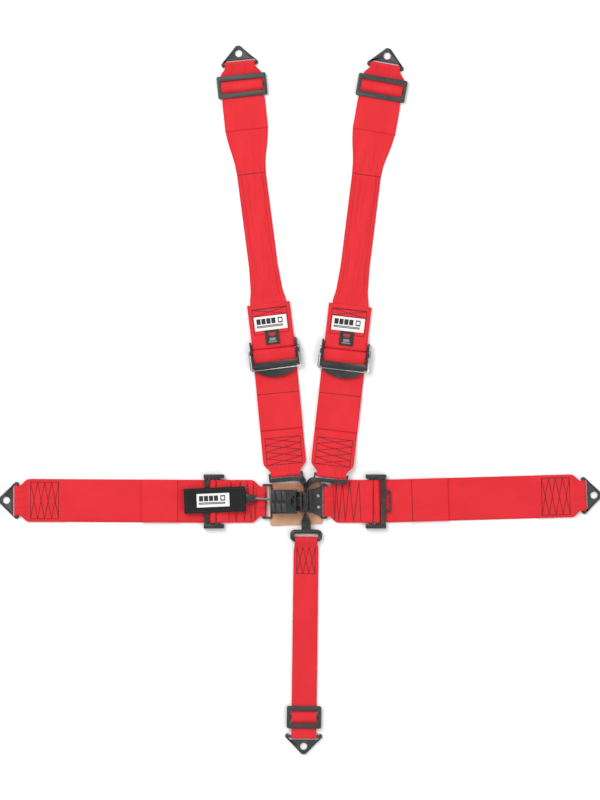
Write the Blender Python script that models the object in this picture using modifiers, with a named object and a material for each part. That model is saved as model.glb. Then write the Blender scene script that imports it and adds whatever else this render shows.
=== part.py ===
"""Five-point latch-and-link racing harness, laid flat with its belts spread out.

Metres, +Z up. The origin is on the ground under the middle of the buckle, +Y runs towards the
shoulder anchors and the lap belts run along X. Every belt is built in a local frame of its own:
+x away from the buckle along the belt, +y to its left, +z up, and is then turned to its heading.
"""
import math

import bmesh
import bpy
from mathutils import Matrix, Vector

MM = 0.001
OBJECT_NAME = "racing_harness"

# clearances
GAP = 0.3 * MM
LOOP_PLAY = 0.3 * MM
HOLE_PLAY = 0.3 * MM
LOOPS_APART = 1.3 * MM

# webbing
WEB_T = 1.4 * MM
WIDE_HALF = 38.1 * MM
NECK_HALF = 25.8 * MM
SUB_HALF = 22.2 * MM
GATHER_HALF = 26.5 * MM
GATHERED = [(6.5 * MM, GATHER_HALF), (8.5 * MM, GATHER_HALF + 1.0 * MM),
            (11.5 * MM, GATHER_HALF + 4.0 * MM), (15 * MM, WIDE_HALF - 3.6 * MM),
            (18 * MM, WIDE_HALF - 1.1 * MM), (22 * MM, WIDE_HALF)]
LAYER = WEB_T + GAP
LOW_Z = WEB_T / 2
SECOND_Z = LOW_Z + LAYER
THIRD_Z = SECOND_Z + LAYER
TAIL_HEM = 66.0 * MM

# hardware stock
PLATE_T = 3.0 * MM
ROD_R = 2.5 * MM
ROD_LOOP_R = ROD_R + LOOP_PLAY + WEB_T / 2
ROD_Z = ROD_LOOP_R + WEB_T / 2 + 0.1 * MM
GATHERED_SLOT_HALF = GATHER_HALF + 1.0 * MM

# anchor plates
BOLT_R = 6.5 * MM
ANCHOR_REACH = 18.0 * MM
ANCHOR_NOSE_R = 14.0 * MM
ANCHOR_LOBE_R = 4.5 * MM
ANCHOR_LOBE_Y = 28.5 * MM

# three-bar slides
SLIDE_BAR = 9.0 * MM
SLIDE_SLOT = 8.0 * MM
SLIDE_MID_BAR = 6.0 * MM
SLIDE_SIDE = 6.5 * MM
SLIDE_Z = 2 * WEB_T + 2 * GAP
SLIDE_LENGTH = 2 * SLIDE_BAR + 2 * SLIDE_SLOT + SLIDE_MID_BAR
SHOULDER_SLIDE_HALF = WIDE_HALF - 0.6 * MM
SUB_SLIDE_HALF = SUB_HALF + 2.0 * MM

# shoulder belts
SHOULDER_TIP_TO_LOCK = 219.0 * MM
SHOULDER_SLIDE_AT = 465.0 * MM
SHOULDER_ANCHOR_AT = 505.0 * MM
SHOULDER_TAIL_AT = 387.0 * MM
SHOULDER_HEM_AT = 82.0 * MM
NECK_START = 34.0 * MM
PATCH_LENGTH = 75.0 * MM
SEWN_END = 72.0 * MM
LOCK_FLOAT = 1.8 * MM
LOCK_PLAY = 0.6 * MM
SHOULDER_LOCK_R = 4.0 * MM
SHOULDER_LOCK_TO_LOOP = SHOULDER_LOCK_R + ROD_R + 2 * (LOOP_PLAY + WEB_T) + LOOPS_APART
SHOULDER_CHEEK_Y = WIDE_HALF + 1.4 * MM
SHOULDER_CHEEK_H = 14.5 * MM
SHOULDER_LOCK_Z = SHOULDER_LOCK_R + LOOP_PLAY + WEB_T + 0.1 * MM
BAIL_R = 1.1 * MM
BAIL_PIVOT = (8.0 * MM, 12.0 * MM)
BAIL_HALF = SHOULDER_CHEEK_Y + 5.8 * MM
BAIL_FRONT = -30.5 * MM

# lap belts
LAP_LOCK_R = 3.5 * MM
LAP_LOOP_TO_LOCK = LAP_LOCK_R + ROD_R + 2 * (LOOP_PLAY + WEB_T) + LOOPS_APART
LAP_LOCK_Z = LAP_LOCK_R + LOOP_PLAY + WEB_T + 0.1 * MM
LAP_BAR_AT = 18.5 * MM
LAP_BAR_WIDTH = 9.0 * MM
LAP_RAIL_Y = WIDE_HALF + 2.9 * MM
LAP_RAIL_T = 7.0 * MM
LAP_SHORT_LENGTH = 80.0 * MM
LAP_HEM_AT = 126.0 * MM
LAP_SEWN_END = 82.0 * MM
LAP_LENGTHS = {"left": 349.8 * MM, "right": 368.8 * MM}

# sub belt
SUB_ROD_R = 3.7 * MM
SUB_ROD_Z = 5.7 * MM
SUB_SLIDE_AT = 316.0 * MM
SUB_ANCHOR_AT = 350.0 * MM
SUB_TAIL_AT = 262.0 * MM
SUB_SEWN_END = 72.0 * MM

# buckle
BUCKLE_Z = 3.3 * MM
PAD_T = 3.0 * MM
PAD_LOW = (-65.0 * MM, -42.0 * MM)
PAD_HIGH = (28.5 * MM, 32.5 * MM)
RIVET_R = 1.5 * MM
RIVETS = ((21.4 * MM, 10.0 * MM), (22.0 * MM, -10.1 * MM))
TONGUE_Z = 14.5 * MM
TONGUE_HALF = 8.0 * MM
TIP_T = 2.5 * MM
TIP_PITCH = 2.9 * MM
TIP_MID_X = -0.3 * MM
UPRIGHT_HALF = 19.5 * MM
UPRIGHT_TOP = 26.0 * MM
UPRIGHT_BACK = 18.0 * MM
SWIVEL_ROOM = 4.6 * MM
LATCH_FLANGE_X = -10.6 * MM
LINK_FLANGE_X = 6.2 * MM
PIN_X = -20.0 * MM
PIN_Z = 18.5 * MM
PIN_R = 1.9 * MM
LATCH_ROD_X = -74.5 * MM
LINK_ROD_X = 35.0 * MM
LATCH_RISE = 0.6 * MM
LEVER_END_X = -63.0 * MM
LEVER_HALF = 21.0 * MM
LEVER_SKIRT_T = 2.7 * MM

# places of the belts: the loop nearest the buckle, and the belt's heading in degrees
LEFT_TIP = (-WIDE_HALF + 2.1 * MM, 48.4 * MM)
RIGHT_TIP = (WIDE_HALF + 6.4 * MM, 46.0 * MM)
LEFT_HEADINGS = (95.4, 97.0, 97.4, 96.0)
RIGHT_HEADINGS = (83.6, 83.4, 82.9, 80.0)
LEFT_TIP_LIFT = 1.0 * MM
RIGHT_TIP_LIFT = 8.0 * MM
TEE_ROD_Y = -67.8 * MM
TEE_X = 0.3 * MM
TEE_PLATE_END = -21.0 * MM

for old in list(bpy.data.objects):
    bpy.data.objects.remove(old, do_unlink=True)

parts = bpy.data.collections.new(OBJECT_NAME)
cutters = bpy.data.collections.new("cutters")
bpy.context.scene.collection.children.link(parts)
bpy.context.scene.collection.children.link(cutters)


def finish_material(name, colour, roughness, metallic):
    """A plain Principled material."""
    made = bpy.data.materials.new(name)
    made.use_nodes = True
    shader = made.node_tree.nodes["Principled BSDF"]
    shader.inputs["Base Color"].default_value = (*colour, 1.0)
    shader.inputs["Roughness"].default_value = roughness
    shader.inputs["Metallic"].default_value = metallic
    return made


RED = finish_material("red_webbing", (0.80, 0.045, 0.06), 0.8, 0.0)
BLACK = finish_material("black_steel", (0.03, 0.032, 0.035), 0.4, 0.6)
BRIGHT = finish_material("bright_steel", (0.7, 0.7, 0.7), 0.25, 1.0)
LEATHER = finish_material("tan_leather", (0.55, 0.28, 0.14), 0.6, 0.0)
FABRIC = finish_material("black_fabric", (0.02, 0.02, 0.022), 0.9, 0.0)
LABEL = finish_material("white_label", (0.9, 0.9, 0.88), 0.7, 0.0)
CORD = finish_material("grey_cord", (0.3, 0.3, 0.32), 0.8, 0.0)


# ---------------------------------------------------------------- frames and solids

def turned(x, y, heading, z=0.0):
    """The local frame of a belt or a piece: its place and its heading in degrees."""
    return Matrix.Translation((x, y, z)) @ Matrix.Rotation(math.radians(heading), 4, "Z")


def along(frame, x, heading=0.0, y=0.0):
    """A frame further along another one, turned by some degrees."""
    return frame @ turned(x, y, heading)


def keep(name, mesh, frame, material):
    """Put a mesh in the part's collection under its name, with its frame as its placement."""
    mesh.name = name
    piece = bpy.data.objects.new(name, mesh)
    parts.objects.link(piece)
    piece.matrix_world = frame
    mesh.materials.clear()
    mesh.materials.append(material)
    return piece


def slab(loops, thickness, middle=0.0, plane="XY"):
    """A flat outline with any holes, given its thickness about middle along the third axis."""
    curve = bpy.data.curves.new("outline", "CURVE")
    curve.dimensions = "2D"
    curve.fill_mode = "BOTH"
    curve.extrude = thickness / 2
    for loop in loops:
        spline = curve.splines.new("POLY")
        spline.points.add(len(loop) - 1)
        for point, (u, v) in zip(spline.points, loop):
            point.co = (u, v, 0.0, 1.0)
        spline.use_cyclic_u = True
    return solid_from(curve, middle, plane)


def solid_from(curve, middle=0.0, plane="XY"):
    """The closed mesh of a curve, with its caps welded and its plane turned upright if asked."""
    holder = bpy.data.objects.new("outline", curve)
    bpy.context.scene.collection.objects.link(holder)
    bpy.context.view_layer.update()
    evaluated = holder.evaluated_get(bpy.context.evaluated_depsgraph_get())
    mesh = bpy.data.meshes.new_from_object(evaluated)
    bpy.data.objects.remove(holder, do_unlink=True)
    shape = bmesh.new()
    shape.from_mesh(mesh)
    bmesh.ops.remove_doubles(shape, verts=shape.verts, dist=0.00001)
    axes = {
        "XY": Matrix.Identity(4),
        "XZ": Matrix(((1, 0, 0, 0), (0, 0, 1, 0), (0, 1, 0, 0), (0, 0, 0, 1))),
        "YZ": Matrix(((0, 0, 1, 0), (1, 0, 0, 0), (0, 1, 0, 0), (0, 0, 0, 1))),
    }[plane]
    shape.transform(axes @ Matrix.Translation((0, 0, middle)))
    bmesh.ops.recalc_face_normals(shape, faces=shape.faces)
    shape.to_mesh(mesh)
    shape.free()
    return mesh


def block(low, high):
    """A box between two corners."""
    shape = bmesh.new()
    bmesh.ops.create_cube(shape, size=1.0)
    low = Vector(low)
    high = Vector(high)
    bmesh.ops.scale(shape, vec=high - low, verts=shape.verts)
    bmesh.ops.translate(shape, vec=(low + high) / 2, verts=shape.verts)
    mesh = bpy.data.meshes.new("block")
    shape.to_mesh(mesh)
    shape.free()
    return mesh


def cylinder(start, end, radius, sides=16):
    """A round bar between two points."""
    start = Vector(start)
    end = Vector(end)
    shape = bmesh.new()
    bmesh.ops.create_cone(shape, cap_ends=True, segments=sides, radius1=radius, radius2=radius,
                          depth=(end - start).length)
    turn = Vector((0, 0, 1)).rotation_difference(end - start).to_matrix().to_4x4()
    shape.transform(Matrix.Translation((start + end) / 2) @ turn)
    mesh = bpy.data.meshes.new("bar")
    shape.to_mesh(mesh)
    shape.free()
    return mesh


def wire(points, radius, closed=False, resolution=2):
    """A round wire along a chain of points."""
    curve = bpy.data.curves.new("wire", "CURVE")
    curve.dimensions = "3D"
    curve.bevel_depth = radius
    curve.bevel_resolution = resolution
    curve.use_fill_caps = True
    spline = curve.splines.new("POLY")
    spline.points.add(len(points) - 1)
    for point, place in zip(spline.points, points):
        point.co = (*place, 1.0)
    spline.use_cyclic_u = closed
    return solid_from(curve)


def loft(sections):
    """A bar through rectangular sections: centre, across vector, through vector (half sizes)."""
    shape = bmesh.new()
    rings = []
    for centre, across, through in sections:
        corners = [across + through, -across + through, -across - through, across - through]
        rings.append([shape.verts.new(centre + corner) for corner in corners])
    for ring, following in zip(rings, rings[1:]):
        for side in range(4):
            shape.faces.new((ring[side], ring[side - 3], following[side - 3], following[side]))
    shape.faces.new(rings[0])
    shape.faces.new(list(reversed(rings[-1])))
    bmesh.ops.recalc_face_normals(shape, faces=shape.faces)
    mesh = bpy.data.meshes.new("loft")
    shape.to_mesh(mesh)
    shape.free()
    return mesh


def combine(piece, meshes, operation="UNION"):
    """Join meshes to a piece, or cut them from it. They share the piece's frame."""
    for mesh in meshes:
        tool = bpy.data.objects.new(piece.name + "_tool", mesh)
        cutters.objects.link(tool)
        tool.matrix_world = piece.matrix_world
        tool.display_type = "WIRE"
        tool.hide_render = True
        boolean = piece.modifiers.new(operation.lower(), "BOOLEAN")
        boolean.operation = operation
        boolean.solver = "EXACT"
        boolean.object = tool
    return piece


# ---------------------------------------------------------------- outlines

def rectangle(x0, x1, y0, y1, radius=0.0, steps=3):
    """A rectangle, with round corners if a radius is given."""
    if not radius:
        return [(x0, y0), (x1, y0), (x1, y1), (x0, y1)]
    corners = [(x1 - radius, y1 - radius, 0), (x0 + radius, y1 - radius, 90),
               (x0 + radius, y0 + radius, 180), (x1 - radius, y0 + radius, 270)]
    outline = []
    for x, y, turn in corners:
        outline += arc(x, y, radius, turn, turn + 90, steps)
    return outline


def arc(x, y, radius, start, end, steps):
    """Points along an arc, angles in degrees."""
    angles = [math.radians(start + (end - start) * i / steps) for i in range(steps + 1)]
    return [(x + radius * math.cos(a), y + radius * math.sin(a)) for a in angles]


def anchor_outline():
    """The rounded triangle around the bolt hole and the two lobes, counter-clockwise."""
    reach = ANCHOR_REACH
    slope = math.degrees(math.atan2(ANCHOR_LOBE_Y, reach))
    lean = math.degrees(math.asin((ANCHOR_NOSE_R - ANCHOR_LOBE_R) / math.hypot(reach, ANCHOR_LOBE_Y)))
    side = 90 - slope - lean
    outline = arc(0, -ANCHOR_LOBE_Y, ANCHOR_LOBE_R, -180, -side, 5)
    outline += arc(reach, 0, ANCHOR_NOSE_R, -side, side, 10)
    outline += arc(0, ANCHOR_LOBE_Y, ANCHOR_LOBE_R, side, 180, 5)
    return outline


# ---------------------------------------------------------------- webbing

def between(table, s):
    """Read a table of (place, value) pairs at s, straight between its entries."""
    if s <= table[0][0]:
        return table[0][1]
    for (s0, v0), (s1, v1) in zip(table, table[1:]):
        if s <= s1:
            return v0 + (v1 - v0) * (s - s0) / (s1 - s0)
    return table[-1][1]


def plan_curve(headings):
    """The middle line of a belt whose heading, in degrees, changes along it."""
    step = 1.0 * MM
    count = int(headings[-1][0] / step) + 2
    places = [Vector((0.0, 0.0))]
    for i in range(count):
        turn = math.radians(between(headings, (i + 0.5) * step))
        places.append(places[-1] + Vector((math.cos(turn), math.sin(turn))) * step)

    def place(s):
        index = min(max(s / step, 0.0), count - 1.0)
        low = int(index)
        turn = math.radians(between(headings, s))
        ahead = Vector((math.cos(turn), math.sin(turn)))
        middle = places[low] + ahead * (s - low * step)
        return middle, Vector((-ahead.y, ahead.x)), math.degrees(turn)

    return place


STRAIGHT = plan_curve([(0.0, 0.0), (1.0 * MM, 0.0)])


def ribbon(name, frame, path, halves, plan=STRAIGHT, lift=((0.0, 0.0),), material=RED):
    """Webbing along a side path of (s, z), as wide as its table says, thickened both ways."""
    rows = [path[0]]
    for point in path[1:]:
        last = rows[-1]
        pieces = max(1, math.ceil(abs(point[0] - last[0]) / (14.0 * MM)))
        if abs(point[0] - last[0]) < 20.0 * MM:
            pieces = 1
        for i in range(1, pieces + 1):
            share = i / pieces
            rows.append((last[0] + (point[0] - last[0]) * share, last[1] + (point[1] - last[1]) * share))
    shape = bmesh.new()
    edges = []
    for s, z in rows:
        middle, left, _ = plan(s)
        half = between(halves, s)
        height = z + between(lift, s)
        edges.append([shape.verts.new((*(middle + left * side * half), height)) for side in (-1, 1)])
    for (a, b), (c, d) in zip(edges, edges[1:]):
        shape.faces.new((a, b, d, c))
    mesh = bpy.data.meshes.new(name)
    shape.to_mesh(mesh)
    shape.free()
    piece = keep(name, mesh, frame, material)
    thick = piece.modifiers.new("webbing thickness", "SOLIDIFY")
    thick.thickness = WEB_T
    thick.offset = 0.0
    thick.use_even_offset = True
    return piece


def wrap(s, z, radius, start, end, steps=10):
    """Side path round a bar at (s, z), angles in degrees from +s towards +z."""
    return arc(s, z, radius, start, end, steps)


def shifted(path, distance):
    """A side path moved sideways: up for a path that runs away from the buckle."""
    moved = []
    for i, (s, z) in enumerate(path):
        before = Vector(path[max(i - 1, 0)])
        after = Vector(path[min(i + 1, len(path) - 1)])
        way = (after - before).normalized()
        moved.append((s - way.y * distance, z + way.x * distance))
    return moved


def slide_path(at):
    """Middle of two layers that pass under, over and under the bars of a slide at s = at."""
    middle = (2 * WEB_T + GAP) / 2
    rise = SLIDE_Z + PLATE_T + GAP * 3 + middle
    climb = [(-14.5, 0.0), (-11.6, 0.0), (-9.4, 0.09), (-4.8, 0.89), (-2.6, 1.0)]
    path = [(at + x * MM, middle + (rise - middle) * share) for x, share in climb]
    return path + [(2 * at - s, z) for s, z in reversed(path)]


# ---------------------------------------------------------------- hardware

def anchor(name, frame):
    """Plate with a bolt hole and a slot, and the bar that the webbing goes round."""
    hole = arc(ANCHOR_REACH, 0, BOLT_R, 0, 360, 24)[:-1]
    piece = keep(name, slab([anchor_outline(), hole], PLATE_T, PLATE_T / 2), frame, BLACK)
    slot = block((-9 * MM, -GATHERED_SLOT_HALF, -1 * MM), (6.5 * MM, GATHERED_SLOT_HALF, 9 * MM))
    bar = cylinder((0, -ANCHOR_LOBE_Y - 1.5 * MM, ROD_Z), (0, ANCHOR_LOBE_Y + 1.5 * MM, ROD_Z), ROD_R)
    combine(piece, [slot], "DIFFERENCE")
    return combine(piece, [bar])


def slide(name, frame, half):
    """Three-bar slide for webbing of this half width."""
    outer = rectangle(-SLIDE_LENGTH / 2, SLIDE_LENGTH / 2, -half - SLIDE_SIDE, half + SLIDE_SIDE, 3 * MM)
    near = SLIDE_MID_BAR / 2
    slots = [rectangle(near, near + SLIDE_SLOT, -half, half),
             rectangle(-near - SLIDE_SLOT, -near, -half, half)]
    return keep(name, slab([outer] + slots, PLATE_T, SLIDE_Z + PLATE_T / 2), frame, BLACK)


def lock_bar(name, frame, radius, z, half):
    """The bar that the adjusted webbing turns round."""
    return keep(name, cylinder((0, -half, z), (0, half, z), radius), frame, BLACK)


def lock_window(x, z, radius):
    """Oval window for a lock bar's end, longer along the belt than it is high."""
    stretch = (radius + LOCK_PLAY) / (radius + LOCK_FLOAT)
    return [(px, z + (pz - z) * stretch) for px, pz in arc(x, z, radius + LOCK_FLOAT, 0, 360, 16)[:-1]]


def lap_adjuster(name, frame):
    """Side rails, the outer bar with its pull loop, and the bar for the short web's loop."""
    outer = rectangle(-9.0 * MM, LAP_BAR_AT + LAP_BAR_WIDTH, 0.3 * MM, 10.5 * MM, 2.5 * MM)
    window = lock_window(LAP_LOOP_TO_LOCK, LAP_LOCK_Z, LAP_LOCK_R)
    rails = [slab([outer, window], LAP_RAIL_T, side * (LAP_RAIL_Y + LAP_RAIL_T / 2), "XZ")
             for side in (-1, 1)]
    reach = LAP_RAIL_Y + 2 * MM
    outer_bar = block((LAP_BAR_AT, -reach, 4.6 * MM), (LAP_BAR_AT + LAP_BAR_WIDTH - MM, reach, 7.4 * MM))
    loop_bar = cylinder((0, -reach, ROD_Z), (0, reach, ROD_Z), ROD_R)
    start = LAP_BAR_AT + LAP_BAR_WIDTH - 3 * MM
    pull_loop = slab([rectangle(start, start + 11.0 * MM, -19.5 * MM, 19.5 * MM, 2 * MM),
                      rectangle(start + 2.6 * MM, start + 8.0 * MM, -16.0 * MM, 16.0 * MM, 1.5 * MM)],
                     2.4 * MM, 6.0 * MM)
    return combine(keep(name, rails[0], frame, BLACK), [outer_bar, loop_bar, pull_loop, rails[1]])


def shoulder_adjuster(name, frame):
    """Two cheeks, a front bar with its half-moon lift tab, and the bar for the patch loop."""
    near = -28.0 * MM
    far = 21.0 * MM
    outer = rectangle(near, far, 0.3 * MM, SHOULDER_CHEEK_H, 3 * MM)
    window = lock_window(0, SHOULDER_LOCK_Z, SHOULDER_LOCK_R)
    pivot = arc(BAIL_PIVOT[0], BAIL_PIVOT[1], BAIL_R + HOLE_PLAY, 0, 360, 10)[:-1]
    cheeks = [slab([outer, window, pivot], PLATE_T, side * (SHOULDER_CHEEK_Y + PLATE_T / 2), "XZ")
              for side in (-1, 1)]
    reach = SHOULDER_CHEEK_Y + PLATE_T / 2
    front_bar = block((-25 * MM, -reach, 7.9 * MM), (-17 * MM, reach, 10.9 * MM))
    moon = arc(15.0 * MM, 0, 60.0 * MM, 180 - 37, 180 + 37, 12)
    moon = [(max(x, -46.0 * MM), y) for x, y in moon]
    lift_tab = slab([[(-20.0 * MM, moon[0][1]), *moon, (-20.0 * MM, moon[-1][1])]], 2.0 * MM, 8.9 * MM)
    loop_bar = cylinder((SHOULDER_LOCK_TO_LOOP, -reach, ROD_Z), (SHOULDER_LOCK_TO_LOOP, reach, ROD_Z), ROD_R)
    return combine(keep(name, cheeks[0], frame, BLACK), [front_bar, lift_tab, loop_bar, cheeks[1]])


def wire_bail(name, frame):
    """Spring wire hung in the cheeks, with its cross wire in front of the front bar."""
    x, z = BAIL_PIVOT
    inside = SHOULDER_CHEEK_Y + 0.5 * MM
    cross_z = 11.6 * MM
    half = [(x, inside, z), (x, BAIL_HALF - 1.5 * MM, z), (x - 1.5 * MM, BAIL_HALF, z),
            (BAIL_FRONT + 3 * MM, BAIL_HALF, cross_z), (BAIL_FRONT, BAIL_HALF - 3 * MM, cross_z)]
    points = half + [(px, -py, pz) for px, py, pz in reversed(half)]
    return keep(name, wire(points, BAIL_R), frame, BRIGHT)


# ---------------------------------------------------------------- shoulder belts

def shoulder_belt(side, tip, headings, tip_lift):
    """Everything from the tip's bar to the anchor of one shoulder belt."""
    tip_frame = turned(*tip, headings[0])
    lock_frame = along(tip_frame, SHOULDER_TIP_TO_LOCK)
    adjuster_turn = headings[1] - headings[0]
    adjuster_frame = lock_frame @ Matrix.Rotation(math.radians(adjuster_turn), 4, "Z")

    lock_z = SHOULDER_LOCK_Z
    lock_loop = SHOULDER_LOCK_R + LOOP_PLAY + WEB_T / 2
    lock = SHOULDER_TIP_TO_LOCK
    hem = SHOULDER_HEM_AT
    path = [(SEWN_END, LOW_Z), (12 * MM, LOW_Z), (6 * MM, LOW_Z)]
    path += wrap(0, ROD_Z, ROD_LOOP_R, 290, 70)
    path += [(14 * MM, SECOND_Z + 1.6 * MM), (24 * MM, SECOND_Z), (SEWN_END + 1 * MM, SECOND_Z)]
    path += [(SEWN_END + 8 * MM, LOW_Z), (lock - 4 * MM, LOW_Z)]
    path += wrap(lock, lock_z, lock_loop, -90, 100)
    path += [(lock - 7 * MM, 9.6 * MM), (lock - 16 * MM, 6.4 * MM), (lock - 25 * MM, 4.6 * MM),
             (lock - 38 * MM, SECOND_Z), (hem + TAIL_HEM + 3 * MM, SECOND_Z),
             (hem + TAIL_HEM - 1 * MM, THIRD_Z), (hem, THIRD_Z)]
    path += wrap(hem, THIRD_Z - LAYER / 2, LAYER / 2, 90, 270, 4)[1:]
    path += [(hem + TAIL_HEM - 4 * MM, SECOND_Z)]
    halves = GATHERED
    lift = [(7.0 * MM, tip_lift), (72.0 * MM, 0.0)]
    ribbon(f"{side}_shoulder_lower_web", tip_frame, path, halves, lift=lift)
    lock_bar(f"{side}_shoulder_lock_bar", lock_frame, SHOULDER_LOCK_R, lock_z, SHOULDER_CHEEK_Y + 4.5 * MM)
    shoulder_adjuster(f"{side}_shoulder_adjuster", adjuster_frame)
    wire_bail(f"{side}_shoulder_wire_bail", adjuster_frame)

    loop_frame = along(adjuster_frame, SHOULDER_LOCK_TO_LOOP)
    over_neck = THIRD_Z
    patch = [(PATCH_LENGTH, LOW_Z), (12 * MM, LOW_Z), (6 * MM, LOW_Z)]
    patch += wrap(0, ROD_Z, ROD_LOOP_R, 290, 70)
    patch += [(14 * MM, over_neck + 1.6 * MM), (24 * MM, over_neck), (PATCH_LENGTH, over_neck)]
    ribbon(f"{side}_shoulder_patch", loop_frame, patch, [(0.0, WIDE_HALF)])

    away = [heading - headings[1] for heading in headings[2:]]
    bend = [(0.0, 0.0), (150 * MM, away[0]), (300 * MM, away[0]), (340 * MM, away[1]),
            (520 * MM, away[1])]
    plan = plan_curve(bend)
    slide_at = SHOULDER_SLIDE_AT
    at = SHOULDER_ANCHOR_AT
    double = slide_path(slide_at)
    between_layers = SECOND_Z - LAYER / 2
    line = [(slide_at - 30 * MM, between_layers)] + double + [(at - 17 * MM, between_layers)]
    run = shifted(line, -LAYER / 2)
    back = shifted(line, LAYER / 2)
    web = [(NECK_START, SECOND_Z), (PATCH_LENGTH + 2 * MM, SECOND_Z), (PATCH_LENGTH + 9 * MM, LOW_Z)]
    web += run + [(at - 5 * MM, LOW_Z + 0.05 * MM)]
    web += wrap(at, ROD_Z, ROD_LOOP_R, -110, 110)
    web += [(at - 9 * MM, SECOND_Z + 1.6 * MM)]
    web += list(reversed(back)) + [(SHOULDER_TAIL_AT, SECOND_Z)]
    in_slide = SHOULDER_SLIDE_HALF - 0.5 * MM
    halves = [(82 * MM, 32 * MM), (98 * MM, 28.5 * MM), (142 * MM, NECK_HALF), (308 * MM, NECK_HALF),
              (328 * MM, WIDE_HALF - 10.6 * MM), (342 * MM, WIDE_HALF - 8.1 * MM), (357 * MM, WIDE_HALF - 4.6 * MM),
              (371 * MM, WIDE_HALF - 2.1 * MM),
              (SHOULDER_TAIL_AT, WIDE_HALF), (slide_at - 26 * MM, WIDE_HALF), (slide_at - 20 * MM, in_slide),
              (slide_at + 20 * MM, in_slide)] + [(at - s, half) for s, half in reversed(GATHERED[:4])]
    ribbon(f"{side}_shoulder_upper_web", loop_frame, web, halves, plan=plan)

    middle, _, turn = plan(slide_at)
    slide(f"{side}_shoulder_slide", along(loop_frame, middle.x, turn, middle.y), SHOULDER_SLIDE_HALF)
    middle, _, turn = plan(at)
    anchor(f"{side}_shoulder_anchor", along(loop_frame, middle.x, turn, middle.y))

    top = over_neck + WEB_T / 2 + GAP
    label = block((28 * MM, -29 * MM, top), (53 * MM, 29 * MM, top + 0.6 * MM))
    keep(f"{side}_shoulder_label", label, loop_frame, LABEL)
    tag_path = [(27.4 * MM, top + WEB_T / 2 - 0.2 * MM), (16 * MM, top + WEB_T / 2 + 1.2 * MM),
                (2 * MM, ROD_Z + ROD_LOOP_R + WEB_T + GAP)]
    ribbon(f"{side}_shoulder_hang_tag", loop_frame, tag_path, [(0.0, 12.5 * MM)], material=FABRIC)
    return tip_frame


# ---------------------------------------------------------------- lap belts

def lap_belt(side, rod_x, heading, long_turn):
    """Everything from the buckle's bar to the anchor of one lap belt."""
    frame = turned(rod_x, 0.0, heading)
    far = LAP_SHORT_LENGTH
    path = [(far / 2 - GAP, LOW_Z), (12 * MM, LOW_Z), (6 * MM, LOW_Z + 0.1 * MM)]
    path += wrap(0, ROD_Z + LATCH_RISE, ROD_LOOP_R, 290, 70)
    path += [(14 * MM, SECOND_Z + 1.6 * MM), (24 * MM, SECOND_Z), (far - 24 * MM, SECOND_Z),
             (far - 14 * MM, SECOND_Z + 1.6 * MM)]
    path += wrap(far, ROD_Z, ROD_LOOP_R, 110, -110)
    path += [(far - 6 * MM, LOW_Z), (far - 12 * MM, LOW_Z), (far / 2 + GAP, LOW_Z)]
    halves = GATHERED
    ribbon(f"{side}_lap_short_web", frame, path, halves)

    adjuster_frame = along(frame, far)
    lap_adjuster(f"{side}_lap_adjuster", adjuster_frame)
    long_frame = along(adjuster_frame, LAP_LOOP_TO_LOCK, long_turn)
    loop = LAP_LOCK_R + LOOP_PLAY + WEB_T / 2
    lock_bar(f"{side}_lap_lock_bar", long_frame, LAP_LOCK_R, LAP_LOCK_Z, LAP_RAIL_Y + 5.0 * MM)
    end = LAP_LENGTHS[side]
    hem = LAP_HEM_AT
    bar = LAP_BAR_AT - LAP_LOOP_TO_LOCK
    path = [(hem - TAIL_HEM + 4 * MM, SECOND_Z)]
    path += wrap(hem, THIRD_Z - LAYER / 2, LAYER / 2, -90, 90, 4)[:-1]
    path += [(hem, THIRD_Z), (hem - TAIL_HEM + 1 * MM, THIRD_Z), (hem - TAIL_HEM - 3 * MM, SECOND_Z),
             (bar + 3 * MM, SECOND_Z), (bar + 1.0 * MM, SECOND_Z + 0.1 * MM),
             (loop + 0.8 * MM, SECOND_Z + 1.4 * MM)]
    path += wrap(0, LAP_LOCK_Z, loop, 10, 270, 12)
    path += [(loop + 2 * MM, LOW_Z), (end - LAP_SEWN_END - 7 * MM, LOW_Z), (end - LAP_SEWN_END, SECOND_Z),
             (end - 24 * MM, SECOND_Z), (end - 14 * MM, SECOND_Z + 1.6 * MM)]
    path += wrap(end, ROD_Z, ROD_LOOP_R, 110, -110)
    path += [(end - 6 * MM, LOW_Z), (end - 12 * MM, LOW_Z), (end - LAP_SEWN_END + 3 * MM, LOW_Z)]
    halves = [(end - s, half) for s, half in reversed(GATHERED)]
    ribbon(f"{side}_lap_long_web", long_frame, path, halves)
    anchor(f"{side}_lap_anchor", along(long_frame, end))


# ---------------------------------------------------------------- sub belt

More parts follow.
